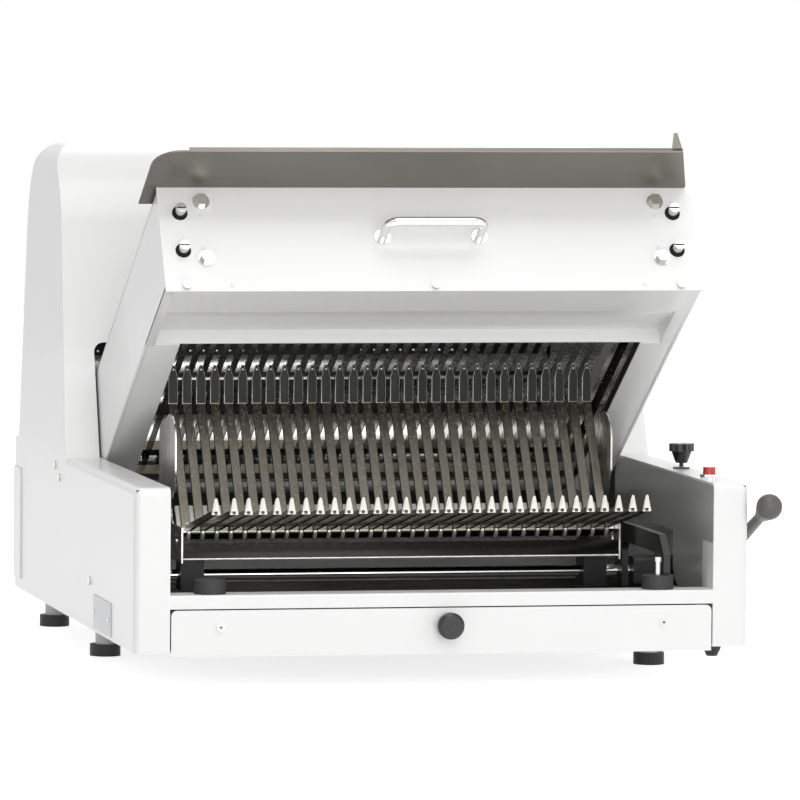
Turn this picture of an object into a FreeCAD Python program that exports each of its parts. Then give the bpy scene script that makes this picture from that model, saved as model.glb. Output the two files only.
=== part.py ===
"""Bench-top bread slicer: swinging head with two blade frames over a tipping comb cradle.

Frame: +X to the right, +Y to the back, +Z up, millimetres. The origin lies on the bench, midway
between the two arms, below their front faces. The head is drawn in its own axes, which turn
about the pivot shaft, and the cradle in axes that turn about the cross shaft.
"""
import FreeCAD
import Part
import Sketcher
import math
import os
from types import SimpleNamespace

NODE_FOLDER = "parts"

# (alias, value, meaning): every size that can be set by itself, written once.
SIZES = [
    ("arm_width", 31.5, "width of each side arm"),
    ("arm_length", 362.0, "arm length in front of the cover"),
    ("base_depth", 648.0, "depth of the side panels"),
    ("base_low", 35.0, "underside of the base"),
    ("arm_top", 178.4, "top of the arms"),
    ("sheet", 2.0, "housing sheet thickness"),
    ("arm_edge_radius", 6.5, "top edges of the arms"),
    ("arm_nose_radius", 6.0, "outer front corner of the arms"),
    ("return_depth", 38.0, "front return of the arm's inner side"),
    ("liner_low", 126.0, "lower edge of the arm liners"),
    ("liner_front_low", 78.0, "lower edge of the liner's front part"),
    ("liner_step", 144.0, "rear end of the liner's front part"),
    ("liner_corner", 22.0, "lower rear corner of the liner's front part"),
    ("liner_thick", 1.2, "arm liner thickness"),
    ("cover_height", 282.0, "height of the rear cover above the arms"),
    ("cover_rear_gap", 18.0, "cover's rear wall in front of the side panel ends"),
    ("cover_lean", 19.4, "lean of the cover's front, degrees"),
    ("cover_draft", 2.06, "inward lean of the cover's sides, degrees"),
    ("cover_front_radius", 112.0, "cover's upper front curve"),
    ("cover_rear_radius", 78.0, "cover's upper rear curve"),
    ("cover_corner_radius", 26.0, "cover's side to top corner"),
    ("mouth_height", 102.6, "height of the cover's front mouth"),
    ("mouth_radius", 9.0, "upper corners of the front mouth"),
    ("rear_flange_depth", 37.0, "side flange of the rear plate"),
    ("rear_plate_low", 45.0, "lower edge of the rear plate"),
    ("rear_plate_high", 150.0, "upper edge of the rear plate"),
    ("rear_plate_thick", 1.5, "rear plate thickness"),
    ("sill_low", 73.0, "underside of the front sill"),
    ("sill_tall", 12.0, "height of the front sill"),
    ("sill_deep", 28.0, "depth of the front sill"),
    ("bumper_radius", 14.0, "rubber bumper radius"),
    ("bumper_tall", 12.0, "rubber bumper height"),
    ("bumper_left_in", 38.0, "left bumper from the arm"),
    ("bumper_right_in", 46.0, "right bumper from the arm"),
    ("bumper_y", 17.0, "bumpers behind the front face"),
    ("stop_screw_radius", 2.6, "stop screw shank"),
    ("stop_screw_tall", 16.0, "stop screw height above the bumper"),
    ("stop_head_radius", 3.6, "stop screw head radius"),
    ("stop_head_tall", 4.0, "stop screw head height"),
    ("foot_radius", 14.0, "foot pad radius"),
    ("foot_tall", 10.7, "foot pad height"),
    ("spacer_radius", 9.0, "foot spacer radius"),
    ("foot_in", 32.5, "feet from the side"),
    ("foot_left_y", 332.0, "left front foot"),
    ("foot_right_in", 39.5, "right front foot from the side"),
    ("foot_right_y", 196.0, "right front foot"),
    ("foot_rear", 35.0, "rear feet from the rear end"),
    ("buffer_in", 14.5, "buffer under the right arm, from the side"),
    ("buffer_y", 67.0, "buffer behind the front face"),
    ("buffer_radius", 8.0, "buffer radius"),
    ("buffer_tall", 15.0, "buffer height"),
    ("tray_low", 31.5, "lower edge of the tray front"),
    ("tray_gap", 1.2, "gap round the tray front"),
    ("tray_front_thick", 3.0, "tray front thickness"),
    ("tray_corner", 5.0, "upper corners of the tray front"),
    ("tray_in", 6.0, "tray pan from the arm"),
    ("tray_depth", 300.0, "rear end of the tray pan"),
    ("tray_high", 69.0, "rim of the tray pan"),
    ("tray_wall", 1.2, "tray pan wall"),
    ("runner_gap", 0.3, "running gap between sliding pieces"),
    ("tray_knob_radius", 11.7, "tray knob radius"),
    ("tray_knob_out", 16.0, "tray knob projection"),
    ("tray_knob_neck", 5.0, "tray knob neck radius"),
    ("tray_knob_x", 4.0, "tray knob from the middle"),
    ("tray_knob_z", 57.0, "tray knob height"),
    ("tray_screw_in", 44.5, "tray screws from the arm"),
    ("small_head_radius", 3.6, "small screw head radius"),
    ("small_head_tall", 1.8, "small screw head height"),
    ("pivot_y", 487.0, "head pivot behind the front face"),
    ("pivot_z", 150.0, "head pivot height"),
    ("pivot_radius", 10.0, "pivot shaft radius"),
    ("running_clearance", 0.05, "radial clearance of running shafts"),
    ("pivot_tube_radius", 15.0, "pivot tube radius"),
    ("bracket_half", 37.0, "half depth of the pivot bracket foot"),
    ("bracket_inset", 2.0, "pivot bracket beside the arm's inner face"),
    ("bracket_thick", 12.0, "pivot bracket thickness"),
    ("bracket_eye", 24.0, "pivot bracket eye radius"),
    ("head_open", 30.3, "incline of the raised head, degrees"),
    ("head_reach", 484.6, "pivot to the head's front face"),
    ("head_gap", 2.0, "head beside the arm"),
    ("head_sheet", 2.0, "head sheet thickness"),
    ("panel_low", 56.1, "panel's lower edge below the pivot"),
    ("panel_high", 46.0, "panel's upper edge above the pivot"),
    ("wing_low", 51.0, "wing's lower edge below the pivot"),
    ("wing_high", 42.0, "wing's upper edge above the pivot"),
    ("wing_tail", 28.0, "wing behind the pivot"),
    ("wing_root_high", 30.0, "wing's upper edge at the pivot"),
    ("flange_wide", 31.0, "width of the wing flanges"),
    ("flange_start", 66.0, "wing flange start in front of the pivot"),
    ("throat_deep", 111.0, "depth of the throat plate"),
    ("throat_in", 12.0, "throat plate from the wing"),
    ("throat_drop", 37.1, "throat edge below the pivot"),
    ("throat_lip", 13.0, "height of the folded lip"),
    ("throat_sheet", 1.5, "throat plate thickness"),
    ("guard_out", 66.0, "guard in front of the head"),
    ("guard_back", 98.6, "guard behind the head's front face"),
    ("guard_thick", 1.5, "guard sheet thickness"),
    ("guard_over", 11.0, "guard's left overhang"),
    ("guard_in", 20.0, "guard's right edge from the wing"),
    ("guard_notch", 30.5, "rear end of the left overhang behind the head's front face"),
    ("guard_corner", 25.0, "guard's front left corner"),
    ("guard_drop", 27.0, "guard's right wall"),
    ("guard_drop_corner", 9.0, "lower front corner of the right wall"),
    ("guard_hem", 3.0, "front hem height"),
    ("ear_tall", 18.0, "height of the guard's ear"),
    ("ear_wide", 10.0, "width of the guard's ear"),
    ("handle_half", 43.5, "handle feet from the middle"),
    ("handle_level", 4.0, "handle below the pivot's level"),
    ("handle_out", 31.0, "handle standing out from the panel"),
    ("handle_radius", 4.2, "handle rod radius"),
    ("handle_bend", 11.0, "handle corner radius"),
    ("handle_collar", 7.0, "handle foot collar radius"),
    ("handle_collar_tall", 3.0, "handle foot collar height"),
    ("bolt_left_in", 38.4, "left panel bolts from the wing"),
    ("bolt_right_in", 33.4, "right panel bolts from the wing"),
    ("bolt_high", 31.6, "upper panel bolts above the pivot"),
    ("bolt_low", 24.2, "lower panel bolts below the pivot"),
    ("bolt_flats", 10.0, "bolt head across flats"),
    ("bolt_head", 5.0, "bolt head height"),
    ("washer_radius", 7.4, "washer radius"),
    ("washer_thick", 1.4, "washer thickness"),
    ("plunger_in", 18.6, "plungers from the wing"),
    ("plunger_high", 20.6, "upper plungers above the pivot"),
    ("plunger_low", 16.2, "lower plungers below the pivot"),
    ("plunger_radius", 4.6, "plunger radius"),
    ("plunger_out", 11.0, "plunger projection"),
    ("plunger_slot", 1.4, "plunger slot width"),
    ("cap_in", 19.0, "cap screws from the wing"),
    ("cap_low", 50.9, "cap screws below the pivot"),
    ("cap_radius", 3.9, "cap screw head radius"),
    ("cap_tall", 3.6, "cap screw head height"),
    ("blade_count", 31, "number of blades"),
    ("blade_pitch", 12.7, "blade spacing, half an inch"),
    ("blade_thick", 0.8, "blade thickness"),
    ("blade_tall", 12.7, "blade width"),
    ("blade_drop", 24.1, "cutting edge below the pivot"),
    ("blade_tab", 7.5, "turned end of a blade"),
    ("blade_tab_width", 6.0, "width of a blade's turned end"),
    ("bar_setback", 28.0, "front blade bars behind the head's front face"),
    ("bar_rear", 66.6, "rear face of the rear blade bars"),
    ("bar_deep", 12.0, "depth of a blade bar"),
    ("bar_tall", 9.0, "height of a blade bar"),
    ("bar_gap", 1.5, "gap between blade band and the other frame's bars"),
    ("rail_margin", 21.5, "frame rail beside the outer blade"),
    ("rail_wide", 12.0, "width of the frame rails"),
    ("guide_thick", 13.7, "thickness of the guide rails"),
    ("guide_margin", 4.0, "guide rail beyond the blade frames"),
    ("shaft_y", 185.0, "cross shaft behind the front face"),
    ("shaft_z", 86.0, "cross shaft height"),
    ("shaft_radius", 5.25, "cross shaft radius"),
    ("block_tall", 26.0, "height and depth of the bearing blocks"),
    ("block_out", 29.0, "bearing block standing out from the arm"),
    ("block_edge", 3.0, "bevel of the bearing blocks"),
    ("clamp_in", 6.5, "shaft clamp inside the end strip"),
    ("clamp_wide", 21.0, "shaft clamp width"),
    ("clamp_deep", 24.0, "shaft clamp depth"),
    ("clamp_low", 13.0, "shaft clamp below the shaft"),
    ("root_y", 20.0, "root rod in front of the cross shaft"),
    ("root_z", 33.0, "root rod above the cross shaft"),
    ("root_radius", 5.0, "root rod radius"),
    ("slip", 0.1, "assembly clearance of pinned pieces"),
    ("comb_shift", 6.35, "comb offset from the blades"),
    ("finger_thick", 3.2, "finger thickness"),
    ("finger_eye", 8.5, "finger eye radius"),
    ("finger_tall", 7.0, "finger height at the root"),
    ("finger_long", 157.0, "root rod to the fingertip"),
    ("finger_rise", 9.9, "rise of the fingers, degrees"),
    ("finger_tip", 15.0, "height of the turned-up fingertip"),
    ("finger_tip_long", 14.0, "length of the turned-up fingertip"),
    ("spacer_tube_radius", 7.0, "spacer tube radius"),
    ("strip_bend_y", 55.0, "strip bend behind the cross shaft"),
    ("strip_bend_z", 149.0, "strip bend above the cross shaft"),
    ("strip_low_long", 127.4, "strip below the bend"),
    ("strip_up_long", 35.0, "strip above the bend"),
    ("strip_lean", 33.3, "lean of the strips, degrees"),
    ("strip_thick", 2.4, "strip thickness"),
    ("strip_wide", 7.5, "strip width"),
    ("strip_point", 7.0, "height of the strip's point"),
    ("comb_bar_tall", 24.0, "height of the bar behind the strips"),
    ("comb_bar_thick", 4.0, "thickness of the bar behind the strips"),
    ("shelf_thick", 3.0, "shelf under the finger roots"),
    ("shelf_level", 18.0, "shelf above the cross shaft"),
    ("shelf_front", 42.0, "shelf in front of the cross shaft"),
    ("cheek_gap", 8.5, "comb's side plate beside the outer strip"),
    ("cheek_thick", 1.5, "side plate thickness"),
    ("cheek_fore", 8.0, "side plate in front of the cross shaft"),
    ("cheek_high", 142.0, "top of the side plate above the cross shaft"),
    ("cheek_back", 71.0, "rear edge of the side plate behind the cross shaft"),
    ("cheek_shoulder", 13.0, "drop of the side plate's rear upper corner"),
    ("cheek_rear_low", 64.0, "lower end of the rear edge above the cross shaft"),
    ("cheek_waist", 90.0, "lower end of the front edge above the cross shaft"),
    ("cheek_neck", 22.0, "side plate's neck behind the cross shaft"),
    ("cheek_foot", 4.0, "side plate below the shelf"),
    ("cheek_round", 24.0, "upper front corner of the side plate"),
    ("cheek_soft", 12.0, "other corners of the side plate"),
    ("stop_arm_gap", 18.0, "stop arm beside the outer strip"),
    ("stop_arm_thick", 6.0, "stop arm thickness"),
    ("stop_arm_high", 45.0, "top of the stop arm above the cross shaft"),
    ("stop_arm_wide", 17.0, "width of the stop arm"),
    ("stop_arm_long", 165.0, "stop arm in front of the cross shaft"),
    ("stop_arm_toe", 32.0, "length of the stop arm's toe"),
    ("stop_arm_round", 8.0, "corners of the stop arm"),
    ("stop_gap", 0.6, "stop arm above the bumper"),
    ("lever_out", 16.5, "lever beside the base"),
    ("lever_hub_radius", 12.0, "lever hub radius"),
    ("lever_hub_wide", 15.0, "lever hub width"),
    ("lever_long", 206.0, "hub to the middle of the ball"),
    ("lever_rise", 20.5, "rise of the lever, degrees"),
    ("lever_root_radius", 6.5, "lever radius at the hub"),
    ("lever_tip_radius", 4.6, "lever radius at the ball"),
    ("ball_radius", 11.5, "lever ball radius"),
    ("grip_long", 27.0, "middle of the ball to the end of its neck"),
    ("grip_neck_radius", 6.0, "end of the ball's neck"),
    ("grip_taper", 14.5, "taper of the ball's neck, degrees"),
    ("ball_socket", 14.0, "depth of the socket in the neck"),
    ("knob_in", 16.2, "star knob from the side"),
    ("knob_y", 175.7, "star knob behind the front face"),
    ("knob_radius", 11.5, "star knob radius"),
    ("knob_tall", 21.0, "star knob height"),
    ("knob_head", 7.0, "height of the knob's lobes"),
    ("knob_lobe", 4.4, "star knob lobe radius"),
    ("knob_stem", 3.5, "stem under the star knob"),
    ("knob_stem_radius", 2.0, "radius of that stem"),
    ("knob_base_radius", 5.4, "lower end of the knob's taper"),
    ("knob_washer_radius", 7.6, "washer under the star knob"),
    ("button_in", 17.8, "push button from the side"),
    ("button_y", 70.0, "push button behind the front face"),
    ("button_radius", 5.6, "push button radius"),
    ("button_tall", 6.0, "push button height above the ring"),
    ("ring_radius", 8.2, "button ring radius"),
    ("ring_tall", 3.0, "button ring height"),
    ("button_travel", 3.0, "push button travel"),
    ("blank_front", 113.0, "front end of the blank plate"),
    ("blank_rear", 203.0, "rear end of the blank plate"),
    ("blank_low", 38.0, "lower edge of the blank plate"),
    ("blank_high", 68.0, "upper edge of the blank plate"),
    ("blank_thick", 1.0, "blank plate thickness"),
    ("rivet_in_front", 8.0, "front rivet from the plate's end"),
    ("rivet_in_rear", 6.0, "rear rivet from the plate's end"),
    ("rivet_radius", 2.2, "rivet head radius"),
    ("rivet_tall", 0.9, "rivet head height"),
    ("side_screw_fore", 224.7, "lower side screw behind the front face"),
    ("side_screw_low", 78.0, "lower side screw height"),
    ("cover_screw_in", 53.0, "cover screw behind the cover's foot"),
    ("cover_screw_drop", 10.9, "cover screw below the arm top"),
    ("plug_in", 30.4, "side plug behind the cover's foot"),
    ("plug_drop", 20.7, "side plug below the arm top"),
]


class Dim:
    """A size that carries its value and the sheet expression that it came from."""

    def __init__(self, value, text):
        self.value = float(value)
        self.text = text

    @staticmethod
    def of(other):
        return other if isinstance(other, Dim) else Dim(other, repr(float(other)))

    def __add__(self, other):
        other = Dim.of(other)
        return Dim(self.value + other.value, f"({self.text} + {other.text})")

    __radd__ = __add__

    def __sub__(self, other):
        other = Dim.of(other)
        return Dim(self.value - other.value, f"({self.text} - {other.text})")

    def __rsub__(self, other):
        return Dim.of(other) - self

    def __mul__(self, other):
        other = Dim.of(other)
        return Dim(self.value * other.value, f"({self.text} * {other.text})")

    __rmul__ = __mul__

    def __truediv__(self, other):
        other = Dim.of(other)
        return Dim(self.value / other.value, f"({self.text} / {other.text})")

    def __neg__(self):
        return Dim(-self.value, f"(-1 * {self.text})")


def sine(angle):
    return Dim(math.sin(math.radians(angle.value)), f"sin({angle.text} * 1 deg)")


def cosine(angle):
    return Dim(math.cos(math.radians(angle.value)), f"cos({angle.text} * 1 deg)")


def tangent(angle):
    return Dim(math.tan(math.radians(angle.value)), f"tan({angle.text} * 1 deg)")


doc = FreeCAD.newDocument("BreadSlicer")
sheet = doc.addObject("Spreadsheet::Sheet", "Sizes")
for row, (alias, value, meaning) in enumerate(SIZES, start=1):
    sheet.set(f"A{row}", meaning)
    sheet.set(f"B{row}", str(value))
    sheet.setAlias(f"B{row}", alias)
doc.recompute()
s = SimpleNamespace(**{a: Dim(sheet.get(a), f"Sizes.{a}") for a, _, _ in SIZES})
nodes = []


def bind(obj, prop, size):
    """Ties a property to the sheet and gives it its first value."""
    obj.setExpression(prop, Dim.of(size).text)


def place(obj, x=0, y=0, z=0, tilt=None):
    """Puts a sub-part at x, y, z, turned about X by tilt degrees."""
    turn = FreeCAD.Rotation(FreeCAD.Vector(1, 0, 0), tilt.value if tilt else 0)
    spot = FreeCAD.Vector(Dim.of(x).value, Dim.of(y).value, Dim.of(z).value)
    obj.Placement = FreeCAD.Placement(spot, turn)
    for axis, size in (("x", x), ("y", y), ("z", z)):
        if isinstance(size, Dim):
            bind(obj, f"Placement.Base.{axis}", size)
    if tilt:
        obj.setExpression("Placement.Rotation.Angle", f"{tilt.text} * 1 deg")


def new_body(label):
    body = doc.addObject("PartDesign::Body", label)
    body.Label = label
    nodes.append(body)
    return body


def head_body(label):
    """A body in the head's axes: -Y runs forward along the wings, Z squarely up from them."""
    body = new_body(label)
    place(body, 0, s.pivot_y, s.pivot_z, -s.head_open)
    return body


def cradle_body(label):
    """A body whose origin is the middle of the cross shaft."""
    body = new_body(label)
    place(body, 0, s.shaft_y, s.shaft_z)
    return body


def plane_of(body, role):
    return [f for f in body.Origin.OriginFeatures if f.Role == role][0]


def new_sketch(body, role, offset=0):
    """An empty sketch on one of the body's origin planes, moved along its normal."""
    sketch = body.newObject("Sketcher::SketchObject", f"{body.Label}_sketch")
    sketch.AttachmentSupport = [(plane_of(body, role), "")]
    sketch.MapMode = "FlatFace"
    if isinstance(offset, Dim):
        base = FreeCAD.Vector(0, 0, offset.value)
        sketch.AttachmentOffset = FreeCAD.Placement(base, FreeCAD.Rotation())
        bind(sketch, "AttachmentOffset.Base.z", offset)
    return sketch


def pin_point(sketch, geometry, point, u, v):
    """Dimensions one point of a sketch from its origin."""
    for kind, size in (("DistanceX", u), ("DistanceY", v)):
        size = Dim.of(size)
        rule = Sketcher.Constraint(kind, -1, 1, geometry, point, size.value)
        index = sketch.addConstraint(rule)
        if "Sizes" in size.text:
            sketch.setExpression(f"Constraints[{index}]", size.text)


def add_polygon(sketch, corners):
    """A closed outline through (u, v) corners, each dimensioned from the origin."""
    spots = [FreeCAD.Vector(Dim.of(u).value, Dim.of(v).value, 0) for u, v in corners]
    count = len(spots)
    first = sketch.GeometryCount
    for i in range(count):
        sketch.addGeometry(Part.LineSegment(spots[i], spots[(i + 1) % count]), False)
    for i in range(count):
        after = first + (i + 1) % count
        sketch.addConstraint(Sketcher.Constraint("Coincident", first + i, 2, after, 1))
    for i, (u, v) in enumerate(corners):
        pin_point(sketch, first + i, 1, u, v)
    return sketch


def add_rectangle(sketch, u0, v0, u1, v1):
    return add_polygon(sketch, [(u0, v0), (u1, v0), (u1, v1), (u0, v1)])


def add_circle(sketch, u, v, radius):
    radius = Dim.of(radius)
    spot = FreeCAD.Vector(Dim.of(u).value, Dim.of(v).value, 0)
    circle = Part.Circle(spot, FreeCAD.Vector(0, 0, 1), radius.value)
    index = sketch.addGeometry(circle, False)
    pin_point(sketch, index, 3, u, v)
    rule = sketch.addConstraint(Sketcher.Constraint("Radius", index, radius.value))
    sketch.setExpression(f"Constraints[{rule}]", radius.text)
    return sketch


def feature(body, kind, sketch=None):
    item = body.newObject(f"PartDesign::{kind}", f"{body.Label}_{kind.lower()}")
    if sketch is not None:
        item.Profile = (sketch, [""])
    body.Tip = item
    return item


def add_pad(body, sketch, length, reverse=False, midplane=False):
    pad = feature(body, "Pad", sketch)
    pad.Reversed = reverse
    pad.Midplane = midplane
    bind(pad, "Length", length)
    return pad


def add_pocket(body, sketch, length, reverse=False, midplane=False):
    """Cuts a sketch into the body and checks that material went."""
    doc.recompute()
    before = body.Shape.Volume
    pocket = feature(body, "Pocket", sketch)
    pocket.Reversed = reverse
    pocket.Midplane = midplane
    bind(pocket, "Length", length)
    doc.recompute()
    if not body.Shape.Volume < before - 1e-6:
        raise RuntimeError(f"{body.Label}: pocket cut nothing")
    return pocket


def add_revolution(body, sketch, axis="V_Axis"):
    turn = feature(body, "Revolution", sketch)
    turn.ReferenceAxis = (sketch, [axis])
    turn.Angle = 360.0
    return turn


def edges_along(shape, axis, spots, reach=0.05):
    """Names of the straight edges parallel to an axis that pass the given spots."""
    across = [i for i in range(3) if i != "XYZ".index(axis)]
    found = []
    for number, edge in enumerate(shape.Edges, start=1):
        if len(edge.Vertexes) != 2:
            continue
        ends = [vertex.Point for vertex in edge.Vertexes]
        if abs(ends[0].distanceToPoint(ends[1]) - edge.Length) > 1e-6:
            continue
        if any(abs(ends[0][i] - ends[1][i]) > 1e-6 for i in across):
            continue
        for spot in spots:
            gaps = [abs(ends[0][i] - Dim.of(c).value) for i, c in zip(across, spot)]
            if max(gaps) < reach:
                found.append(f"Edge{number}")
                break
    return found


def add_fillet(body, axis, spots, radius):
    """Rounds the edges parallel to an axis at the given spots."""
    doc.recompute()
    base = body.Tip
    names = edges_along(base.Shape, axis, spots)
    if not names:
        raise RuntimeError(f"{body.Label}: no edge to round")
    fillet = body.newObject("PartDesign::Fillet", f"{body.Label}_fillet")
    fillet.Base = (base, names)
    bind(fillet, "Radius", radius)
    body.Tip = fillet
    return fillet


def add_mirror(body, originals=None, role="YZ_Plane"):
    """Mirrors named features, or the whole body, about one of its planes."""
    doc.recompute()
    mirror = body.newObject("PartDesign::Mirrored", f"{body.Label}_mirror")
    mirror.MirrorPlane = (plane_of(body, role), [""])
    if originals is None:
        mirror.TransformMode = "Whole shape"
    else:
        mirror.Originals = originals
    body.Tip = mirror
    return mirror


def add_row(body, originals, pitch, count):
    """Repeats features along X."""
    row_feature = body.newObject("PartDesign::LinearPattern", f"{body.Label}_row")
    row_feature.Originals = originals
    row_feature.Direction = (plane_of(body, "X_Axis"), [""])
    row_feature.setExpression("Length", f"({count.text} - 1) * {pitch.text}")
    row_feature.setExpression("Occurrences", count.text)
    body.Tip = row_feature
    return row_feature


def add_cylinders(body, role, offset, spots, radius, length, reverse=False):
    """Equal round bosses that stand on one plane at the given spots."""
    sketch = new_sketch(body, role, offset)
    for u, v in spots:
        add_circle(sketch, u, v, radius)
    return add_pad(body, sketch, length, reverse)


# ---------------------------------------------------------------------------------- base
# The widths grow outward from the blades: band, frames, guides, head, arms.
blade_band = (s.blade_count - 1) * s.blade_pitch / 2
rail_inner = blade_band + s.rail_margin
rail_outer = rail_inner + s.rail_wide
head_half = rail_outer + s.runner_gap + s.guide_thick + s.head_sheet
arm_inner = head_half + s.head_gap
half_width = arm_inner + s.arm_width
comb_first = -blade_band - s.comb_shift
comb_last = blade_band - s.comb_shift
lever_x = half_width + s.lever_out
inside_low = s.base_low + s.sheet
inside_high = s.arm_top - s.sheet


def side_panel(label, side):
    """Hollow side arm: folded sheet with an open inner side and a closed nose."""
    body = new_body(label)
    inner = side * arm_inner
    outward = side < 0
    arm = add_rectangle(new_sketch(body, "YZ_Plane", inner), 0, s.base_low, s.arm_length, s.arm_top)
    add_pad(body, arm, s.arm_width, outward)
    add_fillet(body, "Z", [(side * half_width, 0)], s.arm_nose_radius)
    add_fillet(body, "X", [(0, s.arm_top)], s.arm_edge_radius)
    rear = new_sketch(body, "YZ_Plane", inner)
    add_rectangle(rear, s.arm_length, s.base_low, s.base_depth, s.arm_top)
    add_pad(body, rear, s.arm_width, outward)
    hollow = new_sketch(body, "YZ_Plane", inner)
    back = s.base_depth - s.sheet
    add_polygon(hollow, [
        (s.return_depth, inside_low), (back, inside_low), (back, inside_high),
        (s.sheet, inside_high), (s.sheet, s.liner_low), (s.return_depth, s.liner_low)])
    add_pocket(body, hollow, s.arm_width - s.sheet, side > 0)
    if side > 0:
        hole = new_sketch(body, "YZ_Plane", half_width)
        add_circle(hole, s.shaft_y, s.shaft_z, s.shaft_radius + s.running_clearance + 1)
        add_pocket(body, hole, s.sheet * 2, midplane=True)
    return body


side_panel("side_left", -1)
side_panel("side_right", 1)

liners = new_body("arm_liners")
liner = new_sketch(liners, "YZ_Plane", arm_inner)
add_polygon(liner, [
    (s.sheet, s.liner_low), (s.return_depth, s.liner_low), (s.return_depth, s.liner_front_low),
    (s.liner_step, s.liner_front_low), (s.liner_step, s.liner_low), (s.arm_length, s.liner_low),
    (s.arm_length, inside_high), (s.sheet, inside_high)])
liner_pad = add_pad(liners, liner, s.liner_thick)
liner_round = add_fillet(liners, "X", [(s.liner_step, s.liner_front_low)], s.liner_corner)
add_mirror(liners)

deck = new_body("deck")
floor = new_sketch(deck, "XY_Plane", s.base_low)
add_rectangle(floor, -arm_inner, s.tray_front_thick + s.tray_gap, arm_inner, s.base_depth - s.sheet)
add_pad(deck, floor, s.sheet)

back = new_body("back_panel")
wall = new_sketch(back, "YZ_Plane")
wall_front = s.base_depth - s.sheet
ledge_front = s.base_depth - s.cover_rear_gap - s.sheet * 2
add_polygon(wall, [
    (wall_front, s.base_low), (s.base_depth, s.base_low), (s.base_depth, s.arm_top),
    (ledge_front, s.arm_top), (ledge_front, inside_high), (wall_front, inside_high)])
add_pad(back, wall, arm_inner * 2, midplane=True)

rear = new_body("rear_plate")
channel = new_sketch(rear, "XY_Plane", s.rear_plate_low)
flange_x = half_width + s.rear_plate_thick
flange_y = s.base_depth - s.rear_flange_depth
add_polygon(channel, [
    (-flange_x, flange_y), (-half_width, flange_y), (-half_width, s.base_depth),
    (half_width, s.base_depth), (half_width, flange_y), (flange_x, flange_y),
    (flange_x, s.base_depth + s.rear_plate_thick), (-flange_x, s.base_depth + s.rear_plate_thick)])
add_pad(rear, channel, s.rear_plate_high - s.rear_plate_low)

# Rear cover: a leaning, drafted and rounded shell with a mouth for the head.
def add_side_cut(sketch, foot, top, back, front_radius, rear_radius):
    """What the side view cuts off: outside the leaning front and the two upper curves."""
    lean = s.cover_lean
    crest = foot + (top - s.arm_top) * tangent(lean)
    run = front_radius * tangent((90 - lean) / 2)
    low_y = crest - run * sine(lean)
    low_z = top - run * cosine(lean)
    rear_y = back - rear_radius
    over = top + s.sheet * 2
    fore = foot - s.sheet * 2
    rear_over = back + s.sheet * 2
    lines = {
        0: ((foot, s.arm_top), (low_y, low_z)), 2: ((crest + run, top), (rear_y, top)),
        4: ((back, top - rear_radius), (rear_over, top - rear_radius)),
        5: ((rear_over, top - rear_radius), (rear_over, over)), 6: ((rear_over, over), (fore, over)),
        7: ((fore, over), (fore, s.arm_top)), 8: ((fore, s.arm_top), (foot, s.arm_top))}
    turn = math.pi - math.radians(lean.value)
    arcs = {1: (crest + run, front_radius, math.pi / 2, turn), 3: (rear_y, rear_radius, 0, math.pi / 2)}
    up = FreeCAD.Vector(0, 0, 1)
    for number in range(9):
        if number in arcs:
            y, radius, start, end = arcs[number]
            middle = FreeCAD.Vector(y.value, (top - radius).value, 0)
            arc = Part.ArcOfCircle(Part.Circle(middle, up, radius.value), start, end)
            sketch.addGeometry(arc, False)
            pin_point(sketch, number, 3, y, top - radius)
        else:
            ends = [FreeCAD.Vector(y.value, z.value, 0) for y, z in lines[number]]
            sketch.addGeometry(Part.LineSegment(*ends), False)
            pin_point(sketch, number, 1, *lines[number][0])
    for here, point, after, other in ((0, 2, 1, 2), (1, 1, 2, 1), (2, 2, 3, 2), (3, 1, 4, 1),
                                      (4, 2, 5, 1), (5, 2, 6, 1), (6, 2, 7, 1), (7, 2, 8, 1),
                                      (8, 2, 0, 1)):
        sketch.addConstraint(Sketcher.Constraint("Coincident", here, point, after, other))


def cover_form(body, inset):
    """The cover's outer form, or the hollow inside it, by its inset."""
    top = s.arm_top + s.cover_height - inset
    foot = s.arm_length + inset / cosine(s.cover_lean)
    back = s.base_depth - s.cover_rear_gap - inset
    low_half = half_width - inset / cosine(s.cover_draft)
    top_half = low_half - (top - s.arm_top) * tangent(s.cover_draft)
    outline = new_sketch(body, "XZ_Plane", -foot)
    add_polygon(outline, [
        (-low_half, s.arm_top), (low_half, s.arm_top), (top_half, top), (-top_half, top)])
    add_pad(body, outline, back - foot, True)
    add_fillet(body, "Y", [(top_half, top), (-top_half, top)], s.cover_corner_radius - inset)
    profile = new_sketch(body, "YZ_Plane")
    add_side_cut(profile, foot, top, back, s.cover_front_radius - inset, s.cover_rear_radius - inset)
    add_pocket(body, profile, half_width * 2, midplane=True)


cover = new_body("cover")
cover_form(cover, Dim(0, "0"))
hollow = doc.addObject("PartDesign::Body", "cover_hollow")
cover_form(hollow, s.sheet)
cover_back = s.base_depth - s.cover_rear_gap
mouth_top = s.arm_top + s.mouth_height
mouth = doc.addObject("PartDesign::Body", "cover_mouth")
mouth_face = new_sketch(mouth, "XZ_Plane")
add_rectangle(mouth_face, -arm_inner, s.arm_top - s.sheet, arm_inner, mouth_top)
add_pad(mouth, mouth_face, cover_back - s.cover_rear_radius, True)
add_fillet(mouth, "Y", [(-arm_inner, mouth_top), (arm_inner, mouth_top)], s.mouth_radius)
doc.recompute()
scoop = cover.newObject("PartDesign::Boolean", "cover_scoop")
scoop.Type = "Cut"
scoop.setObjects([hollow, mouth])
cover.Tip = scoop

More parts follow.
